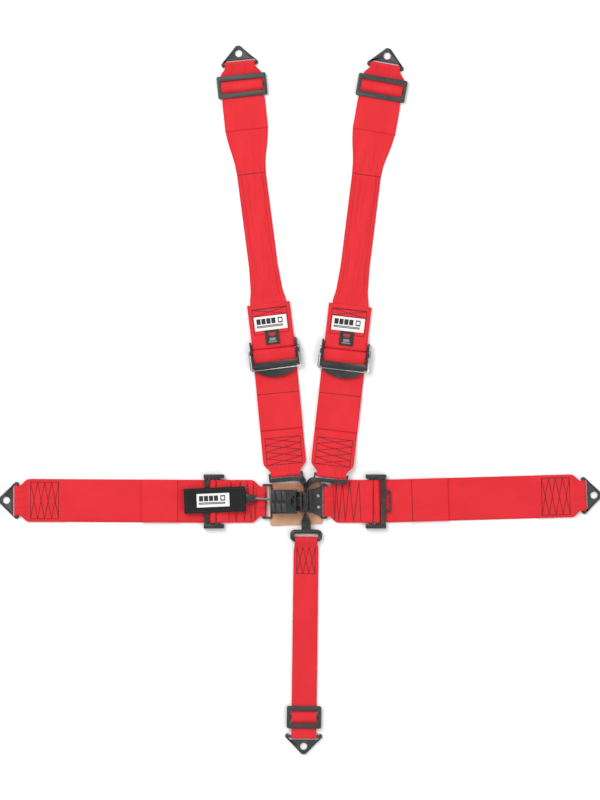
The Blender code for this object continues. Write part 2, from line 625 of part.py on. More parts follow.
def sub_belt():
    """Webbing from the T-fitting's loop through its slide to the anchor."""
    frame = turned(TEE_X, TEE_ROD_Y, 269.3)
    at = SUB_ANCHOR_AT
    double = slide_path(SUB_SLIDE_AT)
    run_out = SUB_SLIDE_AT + SLIDE_LENGTH / 2 + GAP
    between_layers = SECOND_Z - LAYER / 2
    line = [(SUB_SLIDE_AT - 24 * MM, between_layers)] + double + [(run_out, between_layers)]
    top = shifted(line, LAYER / 2)
    low = shifted(line, -LAYER / 2)
    loop = SUB_ROD_R + LOOP_PLAY + WEB_T / 2
    path = [(SUB_SEWN_END, LOW_Z), (14 * MM, LOW_Z), (8 * MM, LOW_Z + 0.1 * MM)]
    path += wrap(0, SUB_ROD_Z, loop, 290, 70)
    path += [(14 * MM, SECOND_Z + 2.2 * MM), (24 * MM, SECOND_Z)]
    path += top + [(at - 9 * MM, SECOND_Z + 1.6 * MM)]
    path += wrap(at, ROD_Z, ROD_LOOP_R, 110, -110)
    path += [(at - 5 * MM, LOW_Z + 0.05 * MM)] + list(reversed(low)) + [(SUB_TAIL_AT, LOW_Z)]
    halves = [(4 * MM, 19.4 * MM), (14 * MM, 21.4 * MM), (24 * MM, SUB_HALF)]
    ribbon("sub_web", frame, path, halves)
    slide("sub_slide", along(frame, SUB_SLIDE_AT), SUB_SLIDE_HALF)
    anchor("sub_anchor", along(frame, at))


# ---------------------------------------------------------------- fittings on the tongue

def upright_end(name, x, far_y):
    """Upright slotted plate that hangs on the tongue, reaching to far_y where its leg starts.
    Its back corner is cut away, so that it can swivel over the pad."""
    leg = 1 if far_y > 0 else -1
    back = -leg * UPRIGHT_BACK
    bottom = BUCKLE_Z + GAP
    top = UPRIGHT_TOP - 1 * MM
    outer = [(-leg * 2.0 * MM, bottom), (far_y, bottom), (far_y, top - 3 * MM), (far_y - leg * 3 * MM, top),
             (back + leg * 3 * MM, top), (back, top - 3 * MM), (back, bottom + SWIVEL_ROOM)]
    slot = rectangle(-TONGUE_HALF - 1 * MM, TONGUE_HALF + 1 * MM, TONGUE_Z - 4.5 * MM, TONGUE_Z + 4.5 * MM)
    return keep(name, slab([outer, slot], TIP_T, x, "YZ"), Matrix.Identity(4), BLACK)


def shoulder_tip(side, tip, heading, lift):
    """Slotted end, a leg that twists from upright to flat, and a frame for the webbing."""
    sign = -1.0 if side == "left" else 1.0
    x = TIP_MID_X + sign * TIP_PITCH
    piece = upright_end(f"{side}_shoulder_tip", x, 22.0 * MM)
    frame = turned(*tip, heading)
    band_z = ROD_Z + lift
    inner = frame @ Vector((-9.5 * MM, -24 * MM if side == "left" else 24 * MM, 0))
    start = Vector((x, 20.5 * MM, (BUCKLE_Z + UPRIGHT_TOP) / 2))
    end = Vector((inner.x, inner.y, band_z))
    band_way = (frame.to_3x3() @ Vector((0, 1, 0))) * (1 if side == "left" else -1)
    corner = Vector((x, end.y, 0))
    sections = []
    steps = 8
    for i in range(steps + 1):
        share = i / steps
        flat = (1 - share) ** 2 * start + 2 * share * (1 - share) * corner + share ** 2 * end
        flat.z = start.z + (end.z - start.z) * min(1.0, share * 1.25)
        way = (2 * (1 - share) * (corner - start) + 2 * share * (end - corner)).xy.to_3d().normalized()
        across_flat = Vector((-way.y, way.x, 0.0)) * (1 if side == "left" else -1)
        twist = math.radians(90 * (1 - share))
        half = (8.0 * (1 - share) + 4.5 * share) * MM
        across = (across_flat * math.cos(twist) + Vector((0, 0, 1)) * math.sin(twist))
        through = way.cross(across).normalized() * TIP_T / 2
        sections.append((flat, across * half, through))
    sections.append((end + band_way * 8 * MM, sections[-1][1], sections[-1][2]))
    ring = rectangle(-13 * MM, 3.2 * MM, -GATHERED_SLOT_HALF - 3 * MM, GATHERED_SLOT_HALF + 3 * MM, 2 * MM)
    window = rectangle(-6.2 * MM, 4.0 * MM, -GATHERED_SLOT_HALF, GATHERED_SLOT_HALF)
    band = slab([ring], PLATE_T, band_z)
    band.transform(frame)
    gap = slab([window], 12 * MM, band_z)
    gap.transform(frame)
    reach = GATHERED_SLOT_HALF + 2 * MM
    bar = cylinder((0, -reach, band_z), (0, reach, band_z), ROD_R)
    bar.transform(frame)
    combine(piece, [loft(sections), band])
    combine(piece, [gap], "DIFFERENCE")
    return combine(piece, [bar])


def sub_tee():
    """Slotted end, twisted leg and the oval rod loop for the sub belt."""
    piece = upright_end("sub_tee", TIP_MID_X, TEE_PLATE_END)
    z0 = (BUCKLE_Z + UPRIGHT_TOP) / 2
    sections = []
    steps = 8
    for i in range(steps + 1):
        share = i / steps
        y = TEE_PLATE_END + MM + (TEE_ROD_Y + 14.0 * MM - TEE_PLATE_END) * share
        z = z0 + (SUB_ROD_Z - z0) * share ** 1.3
        twist = math.radians(90 * (1 - min(1.0, share * 1.4)))
        half = (9.5 - 1.5 * share) * MM
        across = Vector((math.cos(twist), 0.0, math.sin(twist))) * half
        through = Vector((-math.sin(twist), 0.0, math.cos(twist))) * TIP_T / 2
        sections.append((Vector((TIP_MID_X + (TEE_X - TIP_MID_X) * share, y, z)), across, through))
    top_y = TEE_ROD_Y + 14.0 * MM
    half_x = 25.0 * MM
    loop = rectangle(TEE_X - half_x, TEE_X + half_x, TEE_ROD_Y, top_y, 5.0 * MM, 4)
    rod = wire([(x, y, SUB_ROD_Z) for x, y in loop], SUB_ROD_R, closed=True)
    return combine(piece, [loft(sections), rod])


# ---------------------------------------------------------------- buckle

def loop_frame(rod_x, body_x, z):
    """Two rounded arms and the bar that hold a lap belt's loop beside the buckle."""
    side = 1 if rod_x > body_x else -1
    low, high = sorted((body_x - side * 3 * MM, rod_x + side * 3.5 * MM))
    out = GATHERED_SLOT_HALF + 3.5 * MM
    ring = slab([rectangle(low, high, -out, out, 3 * MM)], PLATE_T - 0.4 * MM, z)
    inner, outer = sorted((body_x, rod_x + side * 9 * MM))
    window = block((inner, -GATHERED_SLOT_HALF, z - 6 * MM), (outer, GATHERED_SLOT_HALF, z + 6 * MM))
    bar = cylinder((rod_x, -GATHERED_SLOT_HALF - 2 * MM, ROD_Z + LATCH_RISE),
                   (rod_x, GATHERED_SLOT_HALF + 2 * MM, ROD_Z + LATCH_RISE), ROD_R)
    return ring, window, bar


def latch_base():
    """Floor plate, flange with the tongue's slot, two cheeks for the lever's pin, belt loop."""
    z = BUCKLE_Z + PLATE_T / 2
    body_x = LEVER_END_X
    flange_out = LATCH_FLANGE_X + PLATE_T
    plate = rectangle(body_x + 0.5 * MM, flange_out - 0.4 * MM, -17.0 * MM, 17.0 * MM, 2 * MM)
    piece = keep("latch_base", slab([plate], PLATE_T, z), Matrix.Identity(4), BLACK)
    flange = slab([rectangle(-UPRIGHT_HALF, UPRIGHT_HALF, BUCKLE_Z + 0.5 * MM, UPRIGHT_TOP, 3 * MM),
                   rectangle(-TONGUE_HALF - 1 * MM, TONGUE_HALF + 1 * MM, TONGUE_Z - 2.5 * MM,
                             TONGUE_Z + 2.5 * MM)], PLATE_T, LATCH_FLANGE_X + PLATE_T / 2, "YZ")
    cheeks = []
    for side in (-1, 1):
        outer = rectangle(PIN_X - 10 * MM, PIN_X + 3.05 * MM, BUCKLE_Z + 0.5 * MM, PIN_Z + 3.05 * MM, 2 * MM)
        hole = arc(PIN_X, PIN_Z, PIN_R + HOLE_PLAY, 0, 360, 12)[:-1]
        cheeks.append(slab([outer, hole], 2.5 * MM, side * 13.25 * MM, "XZ"))
    ring, window, bar = loop_frame(LATCH_ROD_X, body_x, z)
    combine(piece, [ring])
    combine(piece, [window], "DIFFERENCE")
    return combine(piece, [bar, flange] + cheeks)


def link_plate():
    """Spreading floor plate, flange, tongue with its locking window, and the belt loop."""
    z = BUCKLE_Z + PLATE_T / 2
    body_x = 28.5 * MM
    x0 = LINK_FLANGE_X + 0.4 * MM
    outline = [(x0, -UPRIGHT_HALF + MM), (body_x, -28.0 * MM), (body_x, 28.0 * MM), (x0, UPRIGHT_HALF - MM)]
    holes = [arc(x, y, RIVET_R + HOLE_PLAY, 0, 360, 10)[:-1] for x, y in RIVETS]
    piece = keep("link_plate", slab([outline] + holes, PLATE_T, z), Matrix.Identity(4), BLACK)
    flange = slab([rectangle(-UPRIGHT_HALF, UPRIGHT_HALF, BUCKLE_Z + 0.5 * MM, UPRIGHT_TOP, 3 * MM)],
                  PLATE_T, LINK_FLANGE_X + PLATE_T / 2, "YZ")
    tongue = slab([rectangle(-38.0 * MM, LINK_FLANGE_X + MM, -TONGUE_HALF, TONGUE_HALF, 1.5 * MM),
                   rectangle(-35.0 * MM, -26.0 * MM, -5.2 * MM, 5.2 * MM)], PLATE_T, TONGUE_Z)
    ring, window, bar = loop_frame(LINK_ROD_X, body_x, z)
    combine(piece, [ring])
    combine(piece, [window], "DIFFERENCE")
    return combine(piece, [bar, flange, tongue])


def pad_and_rivets():
    """Leather pad behind the buckle, held to the link plate by two rivets."""
    outline = rectangle(PAD_LOW[0], PAD_HIGH[0], PAD_LOW[1], PAD_HIGH[1], 4 * MM)
    holes = [arc(x, y, RIVET_R + HOLE_PLAY, 0, 360, 10)[:-1] for x, y in RIVETS]
    keep("leather_pad", slab([outline] + holes, PAD_T, PAD_T / 2), Matrix.Identity(4), LEATHER)
    top = BUCKLE_Z + PLATE_T + GAP
    for name, (x, y) in zip(("upper", "lower"), RIVETS):
        shank = cylinder((x, y, 0.3 * MM), (x, y, top + 0.6 * MM), RIVET_R)
        head = cylinder((x, y, top), (x, y, top + 1.4 * MM), 2.7 * MM)
        combine(keep(f"pad_rivet_{name}", shank, Matrix.Identity(4), BRIGHT), [head])


def lever():
    """Ribbed cover with side skirts, pin holes and the claw that drops into the tongue."""
    front = PIN_X + 2.0 * MM
    top = (PIN_Z + 4.0 * MM, PIN_Z + 7.0 * MM)
    skirt_in = LEVER_HALF - LEVER_SKIRT_T
    pivot = Matrix.Translation((PIN_X, 0, PIN_Z))
    cover = slab([rectangle(LEVER_END_X, front, -LEVER_HALF, LEVER_HALF, 1.5 * MM),
                  rectangle(-26.5 * MM, -20.5 * MM, -8.5 * MM, 8.5 * MM)],
                 top[1] - top[0], (top[0] + top[1]) / 2)
    cover.transform(pivot.inverted())
    piece = keep("latch_lever", cover, pivot, BLACK)
    hole = arc(PIN_X, PIN_Z, PIN_R + HOLE_PLAY, 0, 360, 12)[:-1]
    outer = rectangle(LEVER_END_X + 1 * MM, PIN_X + 5.0 * MM, 9.0 * MM, top[1] - 1 * MM, 2 * MM)
    tools = [slab([outer, hole], LEVER_SKIRT_T, side * (skirt_in + LEVER_SKIRT_T / 2), "XZ")
             for side in (-1, 1)]
    tools.append(block((LEVER_END_X + 0.5 * MM, -skirt_in - MM, 11 * MM),
                       (LEVER_END_X + 3 * MM, skirt_in + MM, top[0] + MM)))
    tools.append(block((-31.5 * MM, -4.5 * MM, 12.5 * MM), (-28.5 * MM, 4.5 * MM, top[0] + MM)))
    for x0, x1 in ((-60.0, -56.0), (-52.0, -45.0), (-42.5, -35.5)):
        for y0, y1 in ((3.0, 18.5), (-18.5, -3.0)):
            tools.append(block((x0 * MM, y0 * MM, top[0] + 2 * MM), (x1 * MM, y1 * MM, top[1] + 1.4 * MM)))
    for mesh in tools:
        mesh.transform(pivot.inverted())
    return combine(piece, tools)


def lever_pin_and_spring():
    """Pivot pin with flat ends, and the torsion spring round it."""
    half = LEVER_HALF + 0.5 * MM
    keep("lever_pin", cylinder((0, -half, 0), (0, half, 0), PIN_R),
         Matrix.Translation((PIN_X, 0, PIN_Z)), BRIGHT)
    turns = 3.0
    steps = 36
    coil = []
    for i in range(steps + 1):
        angle = 2 * math.pi * turns * i / steps
        coil.append((2.9 * MM * math.cos(angle), (15.4 + 2.2 * i / steps) * MM, 2.9 * MM * math.sin(angle)))
    keep("lever_spring", wire(coil, 0.32 * MM, resolution=0), Matrix.Translation((PIN_X, 0, PIN_Z)), BRIGHT)


def release_tab():
    """Fabric pull tab with its label, crimp sleeve and the cord to the lever's end."""
    low_z = LAP_LOCK_Z + LAP_LOCK_R + LOOP_PLAY + WEB_T + GAP
    frame = turned(-162.0 * MM, 2.6 * MM, 2.5, low_z)
    outline = rectangle(-55 * MM, 55 * MM, -22.3 * MM, 22.3 * MM, 2 * MM)
    keep("release_tab", slab([outline], 2.0 * MM, 1.0 * MM), frame, FABRIC)
    label = block((-32 * MM, -12 * MM, 2.3 * MM), (26 * MM, 12 * MM, 2.9 * MM))
    keep("release_tab_label", label, frame, LABEL)
    crimp = block((55.3 * MM, -4.5 * MM, -0.6 * MM), (73 * MM, 4.5 * MM, 3.4 * MM))
    keep("lanyard_crimp", crimp, frame, FABRIC)
    start = frame @ Vector((73.3 * MM, 0, 1.4 * MM))
    end = Vector((LEVER_END_X - 0.8 * MM, 4.0 * MM, 15.0 * MM))
    cord = [start + (end - start) * (i / 4) for i in range(5)]
    keep("lanyard_cord", wire(cord, 1.9 * MM), Matrix.Identity(4), CORD)


shoulder_belt("left", LEFT_TIP, LEFT_HEADINGS, LEFT_TIP_LIFT)
shoulder_belt("right", RIGHT_TIP, RIGHT_HEADINGS, RIGHT_TIP_LIFT)
lap_belt("left", LATCH_ROD_X, 180.0, -0.3)
lap_belt("right", LINK_ROD_X, 0.0, 1.6)
sub_belt()
shoulder_tip("left", LEFT_TIP, LEFT_HEADINGS[0], LEFT_TIP_LIFT)
shoulder_tip("right", RIGHT_TIP, RIGHT_HEADINGS[0], RIGHT_TIP_LIFT)
sub_tee()
latch_base()
link_plate()
pad_and_rivets()
lever()
lever_pin_and_spring()
release_tab()
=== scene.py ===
import math

import bmesh
import bpy
from mathutils import Matrix, Vector


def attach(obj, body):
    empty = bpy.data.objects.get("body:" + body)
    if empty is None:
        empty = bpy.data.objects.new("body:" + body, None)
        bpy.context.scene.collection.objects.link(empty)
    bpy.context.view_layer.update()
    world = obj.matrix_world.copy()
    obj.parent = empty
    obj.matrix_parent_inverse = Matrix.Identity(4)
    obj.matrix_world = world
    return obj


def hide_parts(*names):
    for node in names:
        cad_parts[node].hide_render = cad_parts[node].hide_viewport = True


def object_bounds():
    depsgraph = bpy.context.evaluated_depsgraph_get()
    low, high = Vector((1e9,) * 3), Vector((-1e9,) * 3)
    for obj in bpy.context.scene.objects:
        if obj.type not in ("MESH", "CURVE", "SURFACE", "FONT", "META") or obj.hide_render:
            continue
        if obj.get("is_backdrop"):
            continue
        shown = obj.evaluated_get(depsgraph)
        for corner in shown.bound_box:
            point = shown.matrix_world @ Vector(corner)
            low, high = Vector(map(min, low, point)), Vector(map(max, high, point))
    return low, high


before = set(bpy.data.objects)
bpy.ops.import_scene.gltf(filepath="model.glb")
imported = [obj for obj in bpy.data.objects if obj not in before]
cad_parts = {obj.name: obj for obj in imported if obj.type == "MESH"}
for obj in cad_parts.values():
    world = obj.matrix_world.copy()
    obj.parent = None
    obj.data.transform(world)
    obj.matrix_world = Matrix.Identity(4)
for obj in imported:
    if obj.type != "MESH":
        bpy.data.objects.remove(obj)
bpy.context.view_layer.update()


# ---- Buckle and adjuster steel --------------------------------------------------------
# Pressed steel fittings with a satin black coat. Their edges are softly broken, and the
# coat has a fine orange-peel grain with a few dull rub marks where webbing slides on it.

MM = 0.001


def add_node(tree, kind, label="", **settings):
    made = tree.nodes.new(kind)
    made.label = label
    for key, value in settings.items():
        setattr(made, key, value)
    return made


def joined(tree, source, target):
    tree.links.new(source, target)
    return target


def mixed_colour(tree, factor, first, second):
    """Colour mix whose two ends are fixed colours or sockets."""
    mix = add_node(tree, "ShaderNodeMix", data_type="RGBA")
    tree.links.new(factor, mix.inputs[0])
    for index, value in ((6, first), (7, second)):
        if isinstance(value, bpy.types.NodeSocket):
            tree.links.new(value, mix.inputs[index])
        else:
            mix.inputs[index].default_value = (*value, 1.0)
    return mix.outputs[2]


def spread(tree, value, low, high, to_low, to_high):
    """Maps a value from one range to another and holds it there."""
    ranged = add_node(tree, "ShaderNodeMapRange")
    tree.links.new(value, ranged.inputs[0])
    for index, number in enumerate((low, high, to_low, to_high), 1):
        ranged.inputs[index].default_value = number
    return ranged.outputs[0]


def combined(tree, operation, first, second):
    math_node = add_node(tree, "ShaderNodeMath", operation=operation)
    for index, value in enumerate((first, second)):
        if isinstance(value, bpy.types.NodeSocket):
            tree.links.new(value, math_node.inputs[index])
        else:
            math_node.inputs[index].default_value = value
    return math_node.outputs[0]


def noise(tree, place, scale, detail=3.0, stretch=(1.0, 1.0, 1.0)):
    mapping = add_node(tree, "ShaderNodeMapping")
    mapping.inputs["Scale"].default_value = stretch
    tree.links.new(place, mapping.inputs[0])
    made = add_node(tree, "ShaderNodeTexNoise")
    made.inputs["Scale"].default_value = scale
    made.inputs["Detail"].default_value = detail
    tree.links.new(mapping.outputs[0], made.inputs[0])
    return made.outputs[0]


def new_finish(name):
    """A material with only its shader, and the tree and shader to build on."""
    material = bpy.data.materials.new(name)
    material.use_nodes = True
    tree = material.node_tree
    return material, tree, tree.nodes["Principled BSDF"]


def relief(tree, shader, layers):
    """Stacks bumps of (height, strength, depth in metres) onto the shader's normal."""
    last = None
    for height, strength, depth in layers:
        bump = add_node(tree, "ShaderNodeBump")
        bump.inputs["Strength"].default_value = strength
        bump.inputs["Distance"].default_value = depth
        tree.links.new(height, bump.inputs["Height"])
        if last:
            tree.links.new(last, bump.inputs["Normal"])
        last = bump.outputs[0]
    tree.links.new(last, shader.inputs["Normal"])


def rub_group():
    """Blotches, fine grain and rub marks that metal, leather and cord share."""
    group = bpy.data.node_groups.new("rubbed_surface", "ShaderNodeTree")
    for name in ("Blotch Scale", "Grain Scale", "Rub Amount"):
        group.interface.new_socket(name, in_out="INPUT", socket_type="NodeSocketFloat")
    for name in ("Blotch", "Grain", "Rub"):
        group.interface.new_socket(name, in_out="OUTPUT", socket_type="NodeSocketFloat")
    given = add_node(group, "NodeGroupInput")
    out = add_node(group, "NodeGroupOutput")
    place = add_node(group, "ShaderNodeTexCoord").outputs["Object"]
    blotch = add_node(group, "ShaderNodeTexNoise")
    blotch.inputs["Detail"].default_value = 4.0
    grain = add_node(group, "ShaderNodeTexNoise")
    grain.inputs["Detail"].default_value = 2.0
    scratch = add_node(group, "ShaderNodeTexNoise")
    scratch.inputs["Scale"].default_value = 420.0
    scratch.inputs["Detail"].default_value = 6.0
    stretch = add_node(group, "ShaderNodeMapping")
    stretch.inputs["Scale"].default_value = (0.15, 1.0, 1.0)
    stretch.inputs["Rotation"].default_value = (0.0, 0.0, 0.5)
    group.links.new(place, stretch.inputs[0])
    group.links.new(place, blotch.inputs[0])
    group.links.new(place, grain.inputs[0])
    group.links.new(stretch.outputs[0], scratch.inputs[0])
    group.links.new(given.outputs[0], blotch.inputs["Scale"])
    group.links.new(given.outputs[1], grain.inputs["Scale"])
    marks = spread(group, scratch.outputs[0], 0.60, 0.70, 0.0, 1.0)
    worn = combined(group, "MULTIPLY", marks, spread(group, blotch.outputs[0], 0.5, 0.62, 0.0, 1.0))
    group.links.new(blotch.outputs[0], out.inputs[0])
    group.links.new(grain.outputs[0], out.inputs[1])
    group.links.new(combined(group, "MULTIPLY", worn, given.outputs[2]), out.inputs[2])
    return group


RUBBED = rub_group()


def rubbed(tree, blotch_scale, grain_scale, amount):
    """Places the shared group with its own values and returns blotch, grain and rub."""
    placed = add_node(tree, "ShaderNodeGroup", node_tree=RUBBED)
    for index, number in enumerate((blotch_scale, grain_scale, amount)):
        placed.inputs[index].default_value = number
    return placed.outputs


def coated_steel(name, dark, light, low_rough, high_rough, metallic):
    material, tree, shader = new_finish(name)
    blotch, grain, rub = rubbed(tree, 60.0, 2600.0, 0.7)[:]
    base = mixed_colour(tree, spread(tree, blotch, 0.3, 0.7, 0.0, 1.0), dark, light)
    shown = mixed_colour(tree, rub, base, tuple(min(1.0, c * 2.4 + 0.03) for c in light))
    joined(tree, shown, shader.inputs["Base Color"])
    rough = spread(tree, blotch, 0.3, 0.7, low_rough, high_rough)
    joined(tree, combined(tree, "SUBTRACT", rough, combined(tree, "MULTIPLY", rub, 0.12)),
           shader.inputs["Roughness"])
    shader.inputs["Metallic"].default_value = metallic
    relief(tree, shader, [(grain, 0.25, 0.00012), (blotch, 0.1, 0.0004)])
    return material


BLACK_STEEL = coated_steel("black_coated_steel", (0.012, 0.0125, 0.0135), (0.022, 0.023, 0.025),
                           0.34, 0.5, 0.0)
GREY_STEEL = coated_steel("grey_coated_steel", (0.024, 0.026, 0.026), (0.038, 0.040, 0.039),
                          0.42, 0.56, 0.0)
BRIGHT_STEEL = coated_steel("bright_zinc_steel", (0.30, 0.30, 0.30), (0.46, 0.46, 0.455), 0.22, 0.38, 1.0)


def choose(piece):
    """Leaves only this piece selected, and active."""
    bpy.ops.object.select_all(action="DESELECT")
    piece.select_set(True)
    bpy.context.view_layer.objects.active = piece


def applied(piece, kind, name, **settings):
    """Adds a modifier with these settings to the active piece and applies it."""
    modifier = piece.modifiers.new(name, kind)
    for key, value in settings.items():
        setattr(modifier, key, value)
    bpy.ops.object.modifier_apply(modifier=modifier.name)


def turn_faces_outward():
    bpy.ops.object.mode_set(mode="EDIT")
    bpy.ops.mesh.select_all(action="SELECT")
    bpy.ops.mesh.normals_make_consistent(inside=False)
    bpy.ops.object.mode_set(mode="OBJECT")


def finish_steel(node, body, material, edge):
    """A merged copy of a steel solid with its edges broken by a small bevel."""
    piece = bpy.data.objects.new(f"{node}_finished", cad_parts[node].data.copy())
    bpy.context.scene.collection.objects.link(piece)
    choose(piece)
    bpy.ops.object.mode_set(mode="EDIT")
    bpy.ops.mesh.select_all(action="SELECT")
    bpy.ops.mesh.remove_doubles(threshold=0.002 * MM)
    bpy.ops.mesh.dissolve_limited(angle_limit=math.radians(1.0))
    bpy.ops.object.mode_set(mode="OBJECT")
    applied(piece, "BEVEL", "broken edges", width=edge, segments=2, limit_method="ANGLE",
            angle_limit=math.radians(38.0))
    bpy.ops.object.shade_smooth_by_angle(angle=math.radians(40.0))
    piece.data.materials.clear()
    piece.data.materials.append(material)
    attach(piece, body)
    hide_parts(node)
    return piece


finish_steel("latch_base", "latch", BLACK_STEEL, 0.3 * MM)
finish_steel("link_plate", "link", BLACK_STEEL, 0.3 * MM)

# The lever's cover has finger ribs. Their grooves are painted near black as shade and their tops
# lighter, with rub marks over them, and a six-sided rim stands round the window over the tongue's claw.

LEVER_COAT, tree, shader = new_finish("ribbed_lever_coat")
blotch, grain, rub = rubbed(tree, 60.0, 2600.0, 0.8)[:]
parts = add_node(tree, "ShaderNodeSeparateXYZ")
joined(tree, add_node(tree, "ShaderNodeTexCoord").outputs["Object"], parts.inputs[0])
# painted shade: the grooves between the ribs are coloured near black and the rib tops lighter
groove_shade_mask = spread(tree, parts.outputs[2], 25.3 * MM, 26.7 * MM, 0.0, 1.0)
base = mixed_colour(tree, groove_shade_mask, (0.0025, 0.0025, 0.003), (0.030, 0.031, 0.034))
joined(tree, mixed_colour(tree, rub, base, (0.07, 0.072, 0.075)), shader.inputs["Base Color"])
joined(tree, spread(tree, blotch, 0.3, 0.7, 0.34, 0.5), shader.inputs["Roughness"])
relief(tree, shader, [(grain, 0.25, 0.00012), (blotch, 0.1, 0.0004)])
finish_steel("latch_lever", "lever", LEVER_COAT, 0.35 * MM)

RIM_PLACE = (-26.6 * MM, 0.0, 26.0 * MM)
RIM_SQUASH = 0.80
bpy.ops.object.select_all(action="DESELECT")
bpy.ops.mesh.primitive_cylinder_add(vertices=6, radius=9.6 * MM, depth=1.6 * MM, location=RIM_PLACE,
                                    end_fill_type="NGON")
window_rim = bpy.context.object
window_rim.name = window_rim.data.name = "lever_window_rim"
bpy.ops.object.mode_set(mode="EDIT")
bpy.ops.mesh.select_all(action="DESELECT")
rim_mesh = bmesh.from_edit_mesh(window_rim.data)
for face in rim_mesh.faces:
    face.select_set(abs(face.normal.z) > 0.9)
bmesh.update_edit_mesh(window_rim.data)
bpy.ops.mesh.inset(thickness=2.2 * MM)
bpy.ops.mesh.bridge_edge_loops()
bpy.ops.mesh.select_all(action="SELECT")
bpy.ops.mesh.normals_make_consistent(inside=False)
bpy.ops.object.mode_set(mode="OBJECT")
for vertex in window_rim.data.vertices:
    vertex.co.x *= RIM_SQUASH
bpy.ops.object.transform_apply(location=True, rotation=True, scale=True)
applied(window_rim, "BEVEL", "cast edges", width=0.4 * MM, segments=2, limit_method="ANGLE")
bpy.ops.object.shade_smooth_by_angle(angle=math.radians(35.0))
window_rim.data.materials.append(BLACK_STEEL)
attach(window_rim, "lever")

for side in ("left", "right"):
    for fitting, body, material, edge in (("shoulder_tip", "shoulder_tip", BLACK_STEEL, 0.3),
                                          ("shoulder_adjuster", "shoulder_adjuster", BLACK_STEEL, 0.4),
                                          ("shoulder_lock_bar", "shoulder_lower", BLACK_STEEL, 0.5),
                                          ("shoulder_slide", "shoulder_upper", GREY_STEEL, 0.6),
                                          ("shoulder_anchor", "shoulder_anchor", GREY_STEEL, 0.5),
                                          ("lap_adjuster", "lap_adjuster", BLACK_STEEL, 0.5),
                                          ("lap_lock_bar", "lap_long", BLACK_STEEL, 0.5),
                                          ("lap_anchor", "lap_anchor", GREY_STEEL, 0.5)):
        finish_steel(f"{side}_{fitting}", f"{side}_{body}", material, edge * MM)
finish_steel("sub_tee", "sub_tee", BLACK_STEEL, 0.4 * MM)
finish_steel("sub_slide", "sub_web", GREY_STEEL, 0.5 * MM)
finish_steel("sub_anchor", "sub_anchor", GREY_STEEL, 0.5 * MM)


# ---- Bright wire, pin, spring and rivets ----------------------------------------------
# Zinc-plated spring wire bails, the lever's pin with its torsion spring, and two rivets
# with rounded heads that hold the link plate to the pad.

finish_steel("lever_pin", "latch", BRIGHT_STEEL, 0.3 * MM)
finish_steel("lever_spring", "latch", BRIGHT_STEEL, 0.02 * MM)
for side in ("left", "right"):
    finish_steel(f"{side}_shoulder_wire_bail", f"{side}_shoulder_bail", BRIGHT_STEEL, 0.02 * MM)
for place in ("upper", "lower"):
    finish_steel(f"pad_rivet_{place}", "link", BRIGHT_STEEL, 0.6 * MM)


# ---- Lower shoulder webs --------------------------------------------------------------
# Three-inch polyester webbing from each tip's bar up round the adjuster's lock bar and back.
# The sewn end is box-stitched with four stacked crosses, the tail is folded and hemmed.

GAP = 0.3 * MM
WEB_T = 1.4 * MM
LAYER = 1.7 * MM
LOW_Z = WEB_T / 2
SECOND_Z = LOW_Z + LAYER
THIRD_Z = SECOND_Z + LAYER
WIDE_HALF = 38.1 * MM
GATHER_HALF = 26.5 * MM
GATHERED = [(6.5 * MM, GATHER_HALF), (8.5 * MM, 27.5 * MM), (11.5 * MM, 30.5 * MM), (15 * MM, 34.5 * MM),
            (18 * MM, 37.0 * MM), (22 * MM, WIDE_HALF)]
ROD_Z = 4.3 * MM
ROD_LOOP_R = 3.5 * MM
SLIDE_Z = 3.4 * MM
PLATE_T = 3.0 * MM
OVER_BAR = 0.9 * MM
RED_DARK = (0.56, 0.016, 0.024)
RED_LIGHT = (0.80, 0.028, 0.038)


def turned(x, y, heading, z=0.0):
    return Matrix.Translation((x, y, z)) @ Matrix.Rotation(math.radians(heading), 4, "Z")


def along(frame_at, x, heading=0.0, y=0.0):
    return frame_at @ turned(x, y, heading)


def arc(x, y, radius, start, end, steps):
    angles = [math.radians(start + (end - start) * i / steps) for i in range(steps + 1)]
    return [(x + radius * math.cos(a), y + radius * math.sin(a)) for a in angles]


def slack_loop(x, z, radius, start, end, steps, slack):
    """A loop round a bar, drawn out by some slack on the side away from its web."""
    loop = arc(x, z, radius, start, end, steps)
    return [(px + slack * max(0.0, abs(px - x) / radius) * (1 if px > x else 0), pz) for px, pz in loop]


def between(table, s):
    if s <= table[0][0]:
        return table[0][1]
    for (s0, v0), (s1, v1) in zip(table, table[1:]):
        if s <= s1:
            return v0 + (v1 - v0) * (s - s0) / (s1 - s0)
    return table[-1][1]


def plan_curve(headings):
    """The middle line of a web whose heading changes along it."""
    step = 1.0 * MM
    count = int(headings[-1][0] / step) + 2
    places = [Vector((0.0, 0.0))]
    for i in range(count):
        turn = math.radians(between(headings, (i + 0.5) * step))
        places.append(places[-1] + Vector((math.cos(turn), math.sin(turn))) * step)

    def place(s):
        low = int(min(max(s / step, 0.0), count - 1.0))
        turn = math.radians(between(headings, s))
        ahead = Vector((math.cos(turn), math.sin(turn)))
        return places[low] + ahead * (s - low * step), Vector((-ahead.y, ahead.x)), math.degrees(turn)

    return place


STRAIGHT = plan_curve([(0.0, 0.0), (1.0 * MM, 0.0)])


def shifted(path, distance):
    """A side path moved sideways, as the second layer of doubled webbing."""
    moved = []
    for i, (s, z) in enumerate(path):
        before = Vector(path[max(i - 1, 0)])
        after = Vector(path[min(i + 1, len(path) - 1)])
        way = (after - before).normalized()
        moved.append((s - way.y * distance, z + way.x * distance))
    return moved


